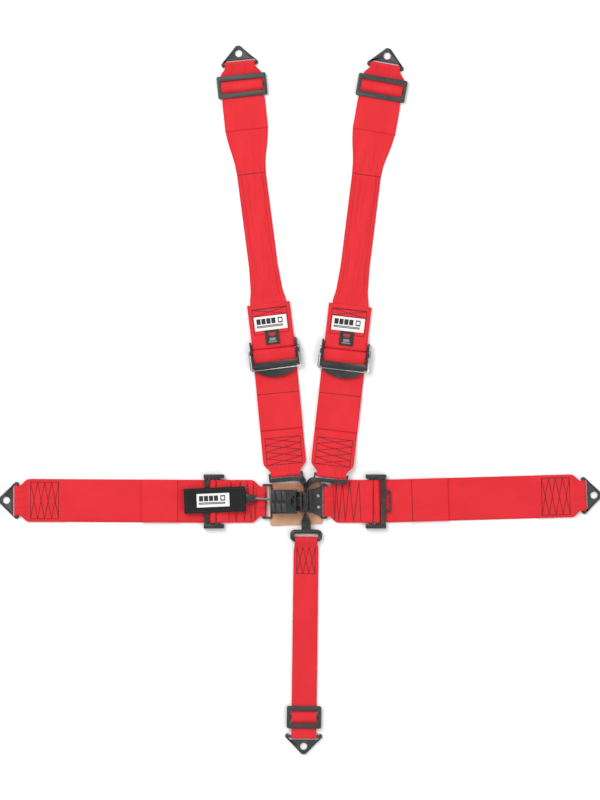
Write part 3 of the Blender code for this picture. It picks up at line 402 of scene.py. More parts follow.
def slide_path(at):
    """Middle of two layers that pass under, over and under the bars of a slide."""
    middle = (2 * WEB_T + GAP) / 2
    rise = SLIDE_Z + PLATE_T + OVER_BAR + middle
    climb = [(-14.5, 0.0), (-11.6, 0.0), (-9.4, 0.09), (-4.8, 0.89), (-2.6, 1.0)]
    path = [(at + x * MM, middle + (rise - middle) * share) for x, share in climb]
    return path + [(2 * at - s, z) for s, z in reversed(path)]


def weave_group():
    """Heights and colour of webbing: lengthwise ribs crossed by a broken twill, with the weave's hollows
    painted darker as shade and broad blotches of random tone.
    """
    group = bpy.data.node_groups.new("webbing_weave", "ShaderNodeTree")
    for name in ("Rib Pitch", "Pick Pitch"):
        group.interface.new_socket(name, in_out="INPUT", socket_type="NodeSocketFloat")
    for name in ("Height", "Shade"):
        group.interface.new_socket(name, in_out="OUTPUT", socket_type="NodeSocketFloat")
    given = add_node(group, "NodeGroupInput")
    out = add_node(group, "NodeGroupOutput")
    laid = add_node(group, "ShaderNodeUVMap", uv_map="laid").outputs[0]
    parts = add_node(group, "ShaderNodeSeparateXYZ")
    group.links.new(laid, parts.inputs[0])
    across = combined(group, "DIVIDE", parts.outputs[0], given.outputs[0])
    up = combined(group, "DIVIDE", parts.outputs[1], given.outputs[1])
    rib = combined(group, "PINGPONG", across, 1.0)
    rounded = combined(group, "SINE", combined(group, "MULTIPLY", rib, math.pi), 0.0)
    slant = combined(group, "ADD", up, combined(group, "MULTIPLY", rib, 1.2))
    pick = combined(group, "SINE", combined(group, "MULTIPLY", slant, 2 * math.pi), 0.0)
    pick = spread(group, pick, -1.0, 1.0, 0.0, 1.0)
    fuzz = noise(group, laid, 900.0, 3.0, (1.0, 0.25, 1.0))
    height = combined(group, "ADD", combined(group, "MULTIPLY", rounded, 0.5),
                      combined(group, "MULTIPLY", pick, 0.35))
    height = combined(group, "ADD", height, combined(group, "MULTIPLY", fuzz, 0.3))
    group.links.new(height, out.inputs[0])
    broad = noise(group, laid, 22.0, 4.0, (1.0, 0.4, 1.0))
    # painted shade in the weave's hollows from the height, plus random tone from the broad noise
    shade = combined(group, "ADD", combined(group, "MULTIPLY", height, 0.45),
                     combined(group, "MULTIPLY", broad, 0.75))
    group.links.new(spread(group, shade, 0.25, 0.95, 0.0, 1.0), out.inputs[1])
    return group


WEAVE = weave_group()


def woven(name, dark, light, rib, pick, sheen):
    """Webbing cloth, with gathers where it is pulled narrow and its colour darkened along both edges."""
    material, tree, shader = new_finish(name)
    cloth = add_node(tree, "ShaderNodeGroup", node_tree=WEAVE)
    cloth.inputs[0].default_value = rib
    cloth.inputs[1].default_value = pick
    edge = add_node(tree, "ShaderNodeAttribute", attribute_name="edge").outputs["Fac"]
    pulled = add_node(tree, "ShaderNodeAttribute", attribute_name="gather").outputs["Fac"]
    laid = add_node(tree, "ShaderNodeUVMap", uv_map="laid").outputs[0]
    base = mixed_colour(tree, cloth.outputs["Shade"], dark, light)
    # the colour darkens towards the dark red across the outer tenth of each side
    rim = spread(tree, edge, 0.90, 1.0, 0.0, 0.45)
    joined(tree, mixed_colour(tree, rim, base, dark), shader.inputs["Base Color"])
    joined(tree, spread(tree, cloth.outputs["Shade"], 0.0, 1.0, 0.86, 0.66), shader.inputs["Roughness"])
    shader.inputs["Sheen Weight"].default_value = sheen
    shader.inputs["Sheen Roughness"].default_value = 0.45
    shader.inputs["Specular IOR Level"].default_value = 0.22
    pleats = combined(tree, "MULTIPLY", noise(tree, laid, 110.0, 1.0, (1.0, 0.12, 1.0)), pulled)
    slack = noise(tree, laid, 14.0, 2.0, (0.5, 1.0, 1.0))
    relief(tree, shader, [(slack, 0.35, 0.004), (pleats, 0.8, 0.006),
                          (cloth.outputs["Height"], 0.55, 0.0004)])
    return material


RED_WEBBING = woven("red_webbing", RED_DARK, RED_LIGHT, 1.5 * MM, 1.2 * MM, 0.03)
BLACK_WEBBING = woven("black_webbing", (0.006, 0.006, 0.0065), (0.014, 0.014, 0.015),
                      1.1 * MM, 1.0 * MM, 0.25)


def finer(path, longest):
    """The same side path with points close enough for smooth shading."""
    rows = [path[0]]
    for point in path[1:]:
        last = rows[-1]
        count = max(1, math.ceil(math.dist(point, last) / longest))
        rows += [(last[0] + (point[0] - last[0]) * i / count, last[1] + (point[1] - last[1]) * i / count)
                 for i in range(1, count + 1)]
    return rows


def lay_webbing(name, at, path, halves, material, body, node, plan=STRAIGHT, lift=((0.0, 0.0),),
                thickness=WEB_T, columns=12):
    """A grid laid along a side path, as wide as its table says, given its thickness and
    the soft rounded edges of a woven selvedge."""
    rows = finer(path, 6 * MM)
    bpy.ops.object.select_all(action="DESELECT")
    bpy.ops.mesh.primitive_grid_add(x_subdivisions=columns, y_subdivisions=len(rows) - 1, size=2.0)
    piece = bpy.context.object
    piece.name = piece.data.name = name
    mesh = piece.data
    run = [0.0]
    for first, second in zip(rows, rows[1:]):
        run.append(run[-1] + math.dist(first, second))
    widest = max(half for _, half in halves)
    place_of, area = {}, 0.0
    edge = mesh.attributes.new("edge", "FLOAT", "POINT")
    gather = mesh.attributes.new("gather", "FLOAT", "POINT")
    for vertex in mesh.vertices:
        row = round((vertex.co.y + 1) / 2 * (len(rows) - 1))
        side_of = round((vertex.co.x + 1) / 2 * columns) / columns * 2 - 1
        s, z = rows[row]
        half = between(halves, s)
        middle, left, _ = plan(s)
        place_of[vertex.index] = (side_of * half, run[row])
        edge.data[vertex.index].value = abs(side_of)
        gather.data[vertex.index].value = min(1.0, max(0.0, (widest - half) / (0.18 * widest)))
        flat = middle + left * side_of * half
        vertex.co = at @ Vector((flat.x, flat.y, z + between(lift, s)))
    for i, (s, _) in enumerate(rows[:-1]):
        area += 2 * between(halves, s) * (run[i + 1] - run[i])
    mesh.uv_layers[0].name = "laid"
    for loop, spot in zip(mesh.loops, mesh.uv_layers["laid"].data):
        spot.uv = place_of[loop.vertex_index]
    choose(piece)
    applied(piece, "SOLIDIFY", "webbing thickness", thickness=thickness, offset=0.0,
            use_even_offset=True)
    applied(piece, "BEVEL", "selvedge", width=0.3 * thickness, segments=2, limit_method="ANGLE",
            angle_limit=math.radians(70.0))
    turn_faces_outward()
    bpy.ops.object.shade_smooth_by_angle(angle=math.radians(50.0))
    mesh.materials.clear()
    mesh.materials.append(material)
    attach(piece, body)
    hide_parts(node)
    return piece


def thread_finish(name, dark, light):
    material, tree, shader = new_finish(name)
    blotch, grain, rub = rubbed(tree, 300.0, 4000.0, 0.2)[:]
    base = mixed_colour(tree, spread(tree, blotch, 0.3, 0.7, 0.0, 1.0), dark, light)
    joined(tree, base, shader.inputs["Base Color"])
    joined(tree, spread(tree, grain, 0.2, 0.8, 0.55, 0.8), shader.inputs["Roughness"])
    relief(tree, shader, [(grain, 0.5, 0.0002)])
    return material


DARK_THREAD = thread_finish("dark_bonded_thread", (0.010, 0.003, 0.004), (0.030, 0.006, 0.008))
RED_THREAD = thread_finish("wine_bonded_thread", (0.10, 0.006, 0.009), (0.18, 0.010, 0.014))
BLACK_THREAD = thread_finish("black_bonded_thread", (0.02, 0.02, 0.022), (0.05, 0.05, 0.055))


STITCH_RISE = 0.08 * MM


def sew(name, at, runs, height, body, thread, plan=STRAIGHT, length=3.3 * MM, pitch=3.6 * MM,
        width=1.6 * MM):
    """One small domed stitch, copied along every run of (s, across) points."""
    bpy.ops.object.select_all(action="DESELECT")
    bpy.ops.mesh.primitive_uv_sphere_add(segments=6, ring_count=4, radius=0.5)
    pattern = bpy.context.object
    stitch = [vertex.co.copy() for vertex in pattern.data.vertices]
    sides = [tuple(face.vertices) for face in pattern.data.polygons]
    bpy.data.objects.remove(pattern)
    points, faces = [], []
    for run in runs:
        for (s0, t0), (s1, t1) in zip(run, run[1:]):
            count = max(1, round(math.dist((s0, t0), (s1, t1)) / pitch))
            for i in range(count):
                ends = []
                for share in ((i + 0.5 - 0.5 * length / pitch) / count,
                              (i + 0.5 + 0.5 * length / pitch) / count):
                    s, t = s0 + (s1 - s0) * share, t0 + (t1 - t0) * share
                    middle, left, _ = plan(s)
                    flat = middle + left * t
                    ends.append(at @ Vector((flat.x, flat.y, height(s) + STITCH_RISE)))
                way = ends[1] - ends[0]
                upright = at.to_3x3() @ Vector((0, 0, 1))
                sideways = upright.cross(way).normalized()
                lifted = way.cross(sideways).normalized()
                centre = (ends[0] + ends[1]) / 2
                faces += [tuple(index + len(points) for index in face) for face in sides]
                points += [centre + way * p.x + sideways * p.y * width + lifted * p.z * 0.55 * MM
                           for p in stitch]
    mesh = bpy.data.meshes.new(name)
    mesh.from_pydata(points, [], faces)
    mesh.polygons.foreach_set("use_smooth", [True] * len(faces))
    mesh.materials.append(thread)
    piece = bpy.data.objects.new(name, mesh)
    bpy.context.scene.collection.objects.link(piece)
    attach(piece, body)
    return piece


def box_of(s0, s1, half):
    return [(s0, -half), (s1, -half), (s1, half), (s0, half), (s0, -half)]


def crosses_over(s0, s1, half, count):
    """Crosses side by side along s, each as wide as the box."""
    runs = []
    for i in range(count):
        low, high = s0 + (s1 - s0) * i / count, s0 + (s1 - s0) * (i + 1) / count
        runs += [[(low, -half), (high, half)], [(low, half), (high, -half)]]
    return runs


def crosses_along(s0, s1, half, count):
    """Crosses side by side across the webbing, each as long as the box."""
    runs = []
    for i in range(count):
        low, high = -half + 2 * half * i / count, -half + 2 * half * (i + 1) / count
        runs += [[(s0, low), (s1, high)], [(s1, low), (s0, high)]]
    return runs


SHOULDERS = {"left": ((-36.0 * MM, 48.4 * MM), (95.4, 97.0, 97.4, 96.0), 1.0 * MM),
             "right": ((44.5 * MM, 46.0 * MM), (83.6, 83.4, 82.9, 80.0), 8.0 * MM)}
TIP_TO_LOCK = 219.0 * MM
SHOULDER_LOCK_Z = 5.8 * MM
SEWN_END = 72.0 * MM
HEM_FOLD = 82.0 * MM
HEM_STITCH = 148.0 * MM
LOWER_BOX = (18 * MM, 66 * MM, 31.4 * MM)

for side, (tip, headings, tip_lift) in SHOULDERS.items():
    tip_frame = turned(*tip, headings[0])
    lock = TIP_TO_LOCK
    path = [(SEWN_END, LOW_Z), (12 * MM, LOW_Z), (6 * MM, LOW_Z)]
    path += arc(0, ROD_Z, ROD_LOOP_R, 290, 70, 20)
    path += [(14 * MM, SECOND_Z + 1.6 * MM), (24 * MM, SECOND_Z), (SEWN_END + 1 * MM, SECOND_Z),
             (SEWN_END + 8 * MM, LOW_Z), (lock - 4 * MM, LOW_Z)]
    path += arc(lock, SHOULDER_LOCK_Z, 5.0 * MM, -90, 100, 18)
    path += [(lock - 7 * MM, 9.6 * MM), (lock - 16 * MM, 6.4 * MM), (lock - 25 * MM, 4.6 * MM),
             (lock - 38 * MM, SECOND_Z), (HEM_STITCH + 3 * MM, SECOND_Z), (HEM_STITCH - 1 * MM, THIRD_Z),
             (HEM_FOLD, THIRD_Z)]
    path += arc(HEM_FOLD, THIRD_Z - LAYER / 2, LAYER / 2, 90, 270, 6)[1:]
    path += [(HEM_STITCH - 4 * MM, SECOND_Z)]
    halves = GATHERED
    lift = [(7.0 * MM, tip_lift), (72.0 * MM, 0.0)]
    lay_webbing(f"{side}_shoulder_lower_webbing", tip_frame, path, halves, RED_WEBBING,
                f"{side}_shoulder_lower", f"{side}_shoulder_lower_web",
                lift=lift)
    top = [(14 * MM, SECOND_Z + 1.6 * MM), (24 * MM, SECOND_Z), (SEWN_END, SECOND_Z),
           (HEM_FOLD, THIRD_Z), (HEM_STITCH - 1 * MM, THIRD_Z)]

    def sewn_height(s, top=top, lift=lift):
        return between(top, s) + between(lift, s) + WEB_T / 2

    box = [box_of(*LOWER_BOX)] + crosses_over(*LOWER_BOX, 4)
    hem = [[(HEM_STITCH - 3 * MM, -37 * MM), (HEM_STITCH - 3 * MM, 37 * MM)]]
    sew(f"{side}_shoulder_lower_stitches", tip_frame, box + hem, sewn_height,
        f"{side}_shoulder_lower", DARK_THREAD)


# ---- Upper shoulder webs and patches --------------------------------------------------
# The harness narrows to two inches behind the neck, its edges folded under and sewn. A
# wide patch loops round the adjuster's bar, and a three-bar slide sets the tail's length.

NECK_HALF = 25.8 * MM
PATCH_LENGTH = 75.0 * MM
SLIDE_AT = 465.0 * MM
ANCHOR_AT = 505.0 * MM
TAIL_AT = 387.0 * MM
CROSS_SEAM = 308.0 * MM
LOCK_TO_LOOP = 11.2 * MM
PATCH_BOX = (54 * MM, 66 * MM, 31 * MM)
PATCH_SEAM = 21.5 * MM
PATCH_EDGE = 66.9 * MM

for side, (tip, headings, _) in SHOULDERS.items():
    tip_frame = turned(*tip, headings[0])
    adjuster_frame = along(tip_frame, TIP_TO_LOCK, headings[1] - headings[0])
    loop_frame = along(adjuster_frame, LOCK_TO_LOOP)
    body = f"{side}_shoulder_upper"
    patch = [(PATCH_LENGTH, LOW_Z), (12 * MM, LOW_Z), (6 * MM, LOW_Z)]
    patch += [(-s, z) for s, z in slack_loop(0, ROD_Z, ROD_LOOP_R, -110, 110, 20, 0.9 * MM)]
    patch += [(14 * MM, THIRD_Z + 1.6 * MM), (24 * MM, THIRD_Z), (PATCH_LENGTH, THIRD_Z)]
    lay_webbing(f"{side}_shoulder_patch_webbing", loop_frame, patch, [(0.0, WIDE_HALF), (0.1, WIDE_HALF)],
                RED_WEBBING, body, f"{side}_shoulder_patch")

    away = [heading - headings[1] for heading in headings[2:]]
    plan = plan_curve([(0.0, 0.0), (150 * MM, away[0]), (300 * MM, away[0]), (340 * MM, away[1]),
                       (520 * MM, away[1])])
    double = slide_path(SLIDE_AT)
    line = ([(SLIDE_AT - 30 * MM, SECOND_Z - LAYER / 2)] + double
            + [(ANCHOR_AT - 17 * MM, SECOND_Z - LAYER / 2)])
    web = [(34 * MM, SECOND_Z), (PATCH_LENGTH + 2 * MM, SECOND_Z), (PATCH_LENGTH + 9 * MM, LOW_Z)]
    web += shifted(line, -LAYER / 2) + [(ANCHOR_AT - 5 * MM, LOW_Z + 0.05 * MM)]
    web += arc(ANCHOR_AT, ROD_Z, ROD_LOOP_R, -110, 110, 20) + [(ANCHOR_AT - 9 * MM, SECOND_Z + 1.6 * MM)]
    web += list(reversed(shifted(line, LAYER / 2))) + [(TAIL_AT, SECOND_Z)]
    halves = [(82 * MM, 32 * MM), (98 * MM, 28.5 * MM), (142 * MM, NECK_HALF), (CROSS_SEAM, NECK_HALF),
              (328 * MM, 27.5 * MM), (342 * MM, 30 * MM), (357 * MM, 33.5 * MM), (371 * MM, 36 * MM),
              (TAIL_AT, WIDE_HALF), (SLIDE_AT - 26 * MM, WIDE_HALF), (SLIDE_AT - 20 * MM, 37 * MM),
              (SLIDE_AT + 20 * MM, 37 * MM), (ANCHOR_AT - 15 * MM, 34.5 * MM),
              (ANCHOR_AT - 10 * MM, 29.5 * MM), (ANCHOR_AT - 7 * MM, GATHER_HALF)]
    lay_webbing(f"{side}_shoulder_upper_webbing", loop_frame, web, halves, RED_WEBBING, body,
                f"{side}_shoulder_upper_web",
                plan=plan)

    def on_patch(s):
        return between([(14 * MM, THIRD_Z + 1.6 * MM), (24 * MM, THIRD_Z)], s) + WEB_T / 2

    def on_neck(s):
        return between([(PATCH_LENGTH + 2 * MM, SECOND_Z), (PATCH_LENGTH + 9 * MM, LOW_Z)], s) + WEB_T / 2

    low, high, out = PATCH_BOX
    box = [box_of(low, high, out),
           [(low, out), (PATCH_SEAM, out), (PATCH_SEAM, -out), (low, -out)],
           [(PATCH_EDGE, -out), (PATCH_EDGE, out)]]
    box += [[(low, -out), (high, out)], [(low, out), (high, -out)]]
    sew(f"{side}_shoulder_patch_stitches", loop_frame, box, on_patch, body, DARK_THREAD)
    seam = [[(CROSS_SEAM, -NECK_HALF + 1 * MM), (CROSS_SEAM, NECK_HALF - 1 * MM)]]
    sew(f"{side}_shoulder_neck_seam", loop_frame, seam, on_neck, body, DARK_THREAD, plan=plan,
        width=1.7 * MM)
    edges = [[(s * MM, sign * (between(halves, s * MM) - 7.5 * MM)) for s in range(90, 309, 12)]
             for sign in (-1, 1)]
    sew(f"{side}_shoulder_neck_edges", loop_frame, edges, on_neck, body, RED_THREAD, plan=plan,
        length=2.8 * MM, pitch=4.0 * MM, width=0.95 * MM)


# ---- Lap belts ------------------------------------------------------------------------
# Each lap belt has a short web sewn in zigzags between buckle and adjuster, and a long one
# round the adjuster's lock bar to the anchor, its tail folded back and its end box-stitched.

SHORT_LENGTH = 80.0 * MM
LAP_LOCK_Z = 5.3 * MM
LAP_TO_LOCK = 10.7 * MM
LAP_HEM = 126.0 * MM
LAP_SEWN = 82.0 * MM
LAPS = {"left": (-74.5 * MM, 180.0, -0.3, 349.8 * MM, "latch_base"),
        "right": (35.0 * MM, 0.0, 1.6, 368.8 * MM, "link_plate")}
ZIGZAG = (13.0, 15.9, 18.9, 23.0, 30.0, 34.8, 42.4, 49.6, 59.3, 62.9)

for side, (rod_x, heading, long_turn, end, buckle_part) in LAPS.items():
    short_frame = turned(rod_x, 0.0, heading)
    far = SHORT_LENGTH
    path = [(far / 2 - 0.3 * MM, LOW_Z), (12 * MM, LOW_Z), (6 * MM, LOW_Z + 0.1 * MM)]
    path += arc(0, ROD_Z + 0.6 * MM, ROD_LOOP_R, 290, 70, 20)
    path += [(14 * MM, SECOND_Z + 1.6 * MM), (24 * MM, SECOND_Z), (far - 24 * MM, SECOND_Z),
             (far - 14 * MM, SECOND_Z + 1.6 * MM)]
    path += slack_loop(far, ROD_Z, ROD_LOOP_R, 110, -110, 20, 0.7 * MM)
    path += [(far - 6 * MM, LOW_Z), (far - 12 * MM, LOW_Z), (far / 2 + 0.3 * MM, LOW_Z)]
    halves = GATHERED
    lay_webbing(f"{side}_lap_short_webbing", short_frame, path, halves, RED_WEBBING, f"{side}_lap_short",
                f"{side}_lap_short_web")

    def on_short(s):
        table = [(14 * MM, SECOND_Z + 1.6 * MM), (24 * MM, SECOND_Z), (far - 24 * MM, SECOND_Z),
                 (far - 14 * MM, SECOND_Z + 1.6 * MM)]
        return between(table, s) + WEB_T / 2

    upper_edge = 1 if side == "right" else -1
    zigzag = []
    for i, s in enumerate(ZIGZAG):
        half = between(halves, s * MM) - 2.5 * MM
        zigzag.append((s * MM, upper_edge * (half if i % 2 == 0 else -half)))
    sew(f"{side}_lap_short_stitches", short_frame, [zigzag], on_short, f"{side}_lap_short", DARK_THREAD)

    long_frame = along(along(short_frame, far), LAP_TO_LOCK, long_turn)
    loop = 4.5 * MM
    bar = 7.8 * MM
    path = [(LAP_HEM - 62 * MM, SECOND_Z)]
    path += arc(LAP_HEM, THIRD_Z - LAYER / 2, LAYER / 2, -90, 90, 6)[:-1]
    path += [(LAP_HEM, THIRD_Z), (LAP_HEM - 65 * MM, THIRD_Z), (LAP_HEM - 69 * MM, SECOND_Z),
             (bar + 3 * MM, SECOND_Z), (bar + 1.0 * MM, SECOND_Z + 0.1 * MM),
             (loop + 0.8 * MM, SECOND_Z + 1.4 * MM)]
    path += arc(0, LAP_LOCK_Z, loop, 10, 270, 22)
    path += [(loop + 2 * MM, LOW_Z), (end - LAP_SEWN - 7 * MM, LOW_Z), (end - LAP_SEWN, SECOND_Z),
             (end - 24 * MM, SECOND_Z), (end - 14 * MM, SECOND_Z + 1.6 * MM)]
    path += arc(end, ROD_Z, ROD_LOOP_R, 110, -110, 20)
    path += [(end - 6 * MM, LOW_Z), (end - 12 * MM, LOW_Z), (end - LAP_SEWN + 3 * MM, LOW_Z)]
    halves = [(end - s, half) for s, half in reversed(GATHERED)]
    lay_webbing(f"{side}_lap_long_webbing", long_frame, path, halves, RED_WEBBING, f"{side}_lap_long",
                f"{side}_lap_long_web")

    def on_long(s):
        table = [(LAP_HEM - 69 * MM, SECOND_Z), (LAP_HEM - 65 * MM, THIRD_Z), (LAP_HEM, THIRD_Z),
                 (LAP_HEM + 2 * MM, SECOND_Z), (end - 24 * MM, SECOND_Z),
                 (end - 14 * MM, SECOND_Z + 1.6 * MM)]
        return between(table, s) + WEB_T / 2

    box_end = end - 25 * MM
    sewn = (box_end - 50 * MM, box_end, 32.7 * MM)
    box = [box_of(*sewn)] + crosses_over(*sewn, 4)
    hem = [[(LAP_HEM - 63 * MM, -37 * MM), (LAP_HEM - 63 * MM, 37 * MM)]]
    sew(f"{side}_lap_long_stitches", long_frame, box + hem, on_long, f"{side}_lap_long", DARK_THREAD)


# ---- Sub belt -------------------------------------------------------------------------
# Webbing 1 3/4 in wide from the T-fitting's loop down to its slide and anchor, doubled
# back on itself, with one box of lengthwise crosses under the loop.

SUB_HALF = 22.2 * MM
SUB_SLIDE = 316.0 * MM
SUB_ANCHOR = 350.0 * MM
SUB_ROD_Z = 5.7 * MM
SUB_LOOP_R = 4.7 * MM
SUB_BOX = (13 * MM, 61 * MM, 16.3 * MM)
sub_frame = turned(0.3 * MM, -67.8 * MM, 269.3)
line = ([(SUB_SLIDE - 24 * MM, SECOND_Z - LAYER / 2)] + slide_path(SUB_SLIDE)
        + [(SUB_SLIDE + 20.3 * MM, SECOND_Z - LAYER / 2)])
path = [(72 * MM, LOW_Z), (14 * MM, LOW_Z), (8 * MM, LOW_Z + 0.1 * MM)]
path += arc(0, SUB_ROD_Z, SUB_LOOP_R, 290, 70, 20)
path += [(14 * MM, SECOND_Z + 2.2 * MM), (24 * MM, SECOND_Z)]
path += shifted(line, LAYER / 2) + [(SUB_ANCHOR - 9 * MM, SECOND_Z + 1.6 * MM)]
path += arc(SUB_ANCHOR, ROD_Z, ROD_LOOP_R, 110, -110, 20)
path += [(SUB_ANCHOR - 5 * MM, LOW_Z + 0.05 * MM)] + list(reversed(shifted(line, -LAYER / 2)))
path += [(262 * MM, LOW_Z)]
lay_webbing("sub_webbing", sub_frame, path,
            [(4 * MM, 19.4 * MM), (14 * MM, 21.4 * MM), (24 * MM, SUB_HALF)],
            RED_WEBBING, "sub_web", "sub_web")


def on_sub(s):
    return between([(14 * MM, SECOND_Z + 2.2 * MM), (24 * MM, SECOND_Z)], s) + WEB_T / 2


box = [box_of(*SUB_BOX)] + crosses_along(*SUB_BOX, 3)
sew("sub_stitches", sub_frame, box, on_sub, "sub_web", DARK_THREAD)


# ---- Leather pad ----------------------------------------------------------------------
# A leather pad lies behind the buckle and keeps steel off the driver. It is a thick hide with
# rounded corners and softened edges, and its tan is painted darker towards the top as shade.

PAD_LOW = (-65.0 * MM, -42.0 * MM)
PAD_HIGH = (28.5 * MM, 32.5 * MM)
PAD_T = 3.0 * MM
PAD_MIDDLE_Z = 1.5 * MM
bpy.ops.object.select_all(action="DESELECT")
bpy.ops.mesh.primitive_grid_add(x_subdivisions=32, y_subdivisions=26, size=2.0)
pad = bpy.context.object
pad.name = pad.data.name = "leather_pad_hide"
CORNER = 4.0 * MM
PAD_TURN = math.radians(2.5)
middle = [(low + high) / 2 for low, high in zip(PAD_LOW, PAD_HIGH)]
reach = [(high - low) / 2 for low, high in zip(PAD_LOW, PAD_HIGH)]
for vertex in pad.data.vertices:
    x, y = vertex.co.x * reach[0], vertex.co.y * reach[1]
    over = [max(0.0, abs(value) - (size - CORNER)) for value, size in zip((x, y), reach)]
    if over[0] > 0 and over[1] > 0:
        pull = max(over) / math.hypot(*over)
        x = math.copysign(reach[0] - CORNER + over[0] * pull, x)
        y = math.copysign(reach[1] - CORNER + over[1] * pull, y)
    place = Matrix.Rotation(PAD_TURN, 2) @ Vector((x, y))
    vertex.co = (middle[0] + place.x, middle[1] + place.y, PAD_MIDDLE_Z)
choose(pad)
applied(pad, "SOLIDIFY", "hide thickness", thickness=PAD_T, offset=0.0)
applied(pad, "BEVEL", "burnished rim", width=0.7 * MM, segments=3, limit_method="ANGLE",
        angle_limit=math.radians(60.0))
bpy.ops.object.shade_smooth_by_angle(angle=math.radians(45.0))

HIDE, tree, shader = new_finish("tan_hide")
place = add_node(tree, "ShaderNodeTexCoord").outputs["Object"]
blotch, grain, rub = rubbed(tree, 45.0, 900.0, 0.5)[:]
cells = add_node(tree, "ShaderNodeTexVoronoi", feature="DISTANCE_TO_EDGE")
cells.inputs["Scale"].default_value = 900.0
joined(tree, place, cells.inputs["Vector"])
parts = add_node(tree, "ShaderNodeSeparateXYZ")
joined(tree, place, parts.inputs[0])
# painted shade: the tan darkens from the lower edge of the pad to the top
tan_with_painted_shade = mixed_colour(tree, spread(tree, parts.outputs[1], -0.03, 0.03, 0.0, 1.0),
                     (0.66, 0.36, 0.225), (0.50, 0.215, 0.118))
toned = mixed_colour(tree, spread(tree, blotch, 0.35, 0.7, 0.0, 0.35), tan_with_painted_shade, (0.36, 0.155, 0.075))
creases = spread(tree, cells.outputs[0], 0.0, 0.12, 0.25, 0.0)
joined(tree, mixed_colour(tree, creases, toned, (0.22, 0.09, 0.045)), shader.inputs["Base Color"])
joined(tree, spread(tree, blotch, 0.3, 0.7, 0.5, 0.68), shader.inputs["Roughness"])
shader.inputs["Specular IOR Level"].default_value = 0.35
relief(tree, shader, [(blotch, 0.2, 0.002), (cells.outputs[0], 0.35, 0.0003), (grain, 0.2, 0.0002)])
pad.data.materials.append(HIDE)
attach(pad, "link")
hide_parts("leather_pad")


# ---- Labels and hang tags -------------------------------------------------------------
# Woven white labels with a plain printed band, sewn down all round, and small black hang
# tags with a red and a grey mark. Nothing on them is lettering.

def printed_group():
    """Mask of one printed block on a label, by its own cloth coordinates from 0 to 1."""
    group = bpy.data.node_groups.new("printed_block", "ShaderNodeTree")
    for name in ("Middle Across", "Middle Up", "Half Across", "Half Up"):
        group.interface.new_socket(name, in_out="INPUT", socket_type="NodeSocketFloat")
    group.interface.new_socket("Mask", in_out="OUTPUT", socket_type="NodeSocketFloat")
    given = add_node(group, "NodeGroupInput")
    out = add_node(group, "NodeGroupOutput")
    laid = add_node(group, "ShaderNodeUVMap", uv_map="print").outputs[0]
    parts = add_node(group, "ShaderNodeSeparateXYZ")
    group.links.new(laid, parts.inputs[0])
    sides = []
    for axis in (0, 1):
        offset = combined(group, "SUBTRACT", parts.outputs[axis], given.outputs[axis])
        sides.append(combined(group, "LESS_THAN", combined(group, "ABSOLUTE", offset, 0.0),
                              given.outputs[axis + 2]))
    group.links.new(combined(group, "MULTIPLY", *sides), out.inputs[0])
    return group


PRINTED = printed_group()


def label_cloth(name, ground, marks):
    """Fine label cloth in one colour with printed blocks of (place and size, colour)."""
    material, tree, shader = new_finish(name)
    laid = add_node(tree, "ShaderNodeUVMap", uv_map="print").outputs[0]
    blotch, grain, rub = rubbed(tree, 120.0, 2400.0, 0.3)[:]
    shade = mixed_colour(tree, spread(tree, blotch, 0.3, 0.7, 0.0, 0.5), ground,
                         tuple(0.82 * c for c in ground))
    for spot, colour in marks:
        block = add_node(tree, "ShaderNodeGroup", node_tree=PRINTED)
        for index, number in enumerate(spot):
            block.inputs[index].default_value = number
        shade = mixed_colour(tree, block.outputs[0], shade, colour)
    joined(tree, shade, shader.inputs["Base Color"])
    joined(tree, spread(tree, grain, 0.2, 0.8, 0.6, 0.8), shader.inputs["Roughness"])
    wave = add_node(tree, "ShaderNodeTexWave", wave_type="BANDS", bands_direction="Y")
    wave.inputs["Scale"].default_value = 14.0
    wave.inputs["Distortion"].default_value = 0.6
    joined(tree, laid, wave.inputs["Vector"])
    relief(tree, shader, [(wave.outputs["Fac"], 0.35, 0.0002), (grain, 0.3, 0.00015)])
    return material


INK = (0.018, 0.018, 0.020)
RED_INK = (0.42, 0.02, 0.03)
GREY_INK = (0.22, 0.22, 0.24)
HEADLINE = [((0.135 + 0.152 * i, 0.64, 0.064, 0.20), INK) for i in range(4)]
HEADLINE += [((0.80, 0.64, 0.075, 0.20), INK), ((0.80, 0.64, 0.045, 0.11), (0.84, 0.84, 0.83))]
SUBLINE = [((0.465, 0.28, 0.40, 0.075), INK), ((0.465, 0.28, 0.37, 0.018), (0.6, 0.6, 0.6))]
WHITE_LABEL = label_cloth("white_woven_label", (0.86, 0.86, 0.85), HEADLINE + SUBLINE)
BLACK_TAG = label_cloth("black_hang_tag", (0.018, 0.018, 0.020),
                        [((0.5, 0.74, 0.24, 0.09), RED_INK), ((0.5, 0.60, 0.15, 0.03), RED_INK),
                         ((0.5, 0.36, 0.22, 0.10), GREY_INK), ((0.5, 0.18, 0.30, 0.04), GREY_INK)])


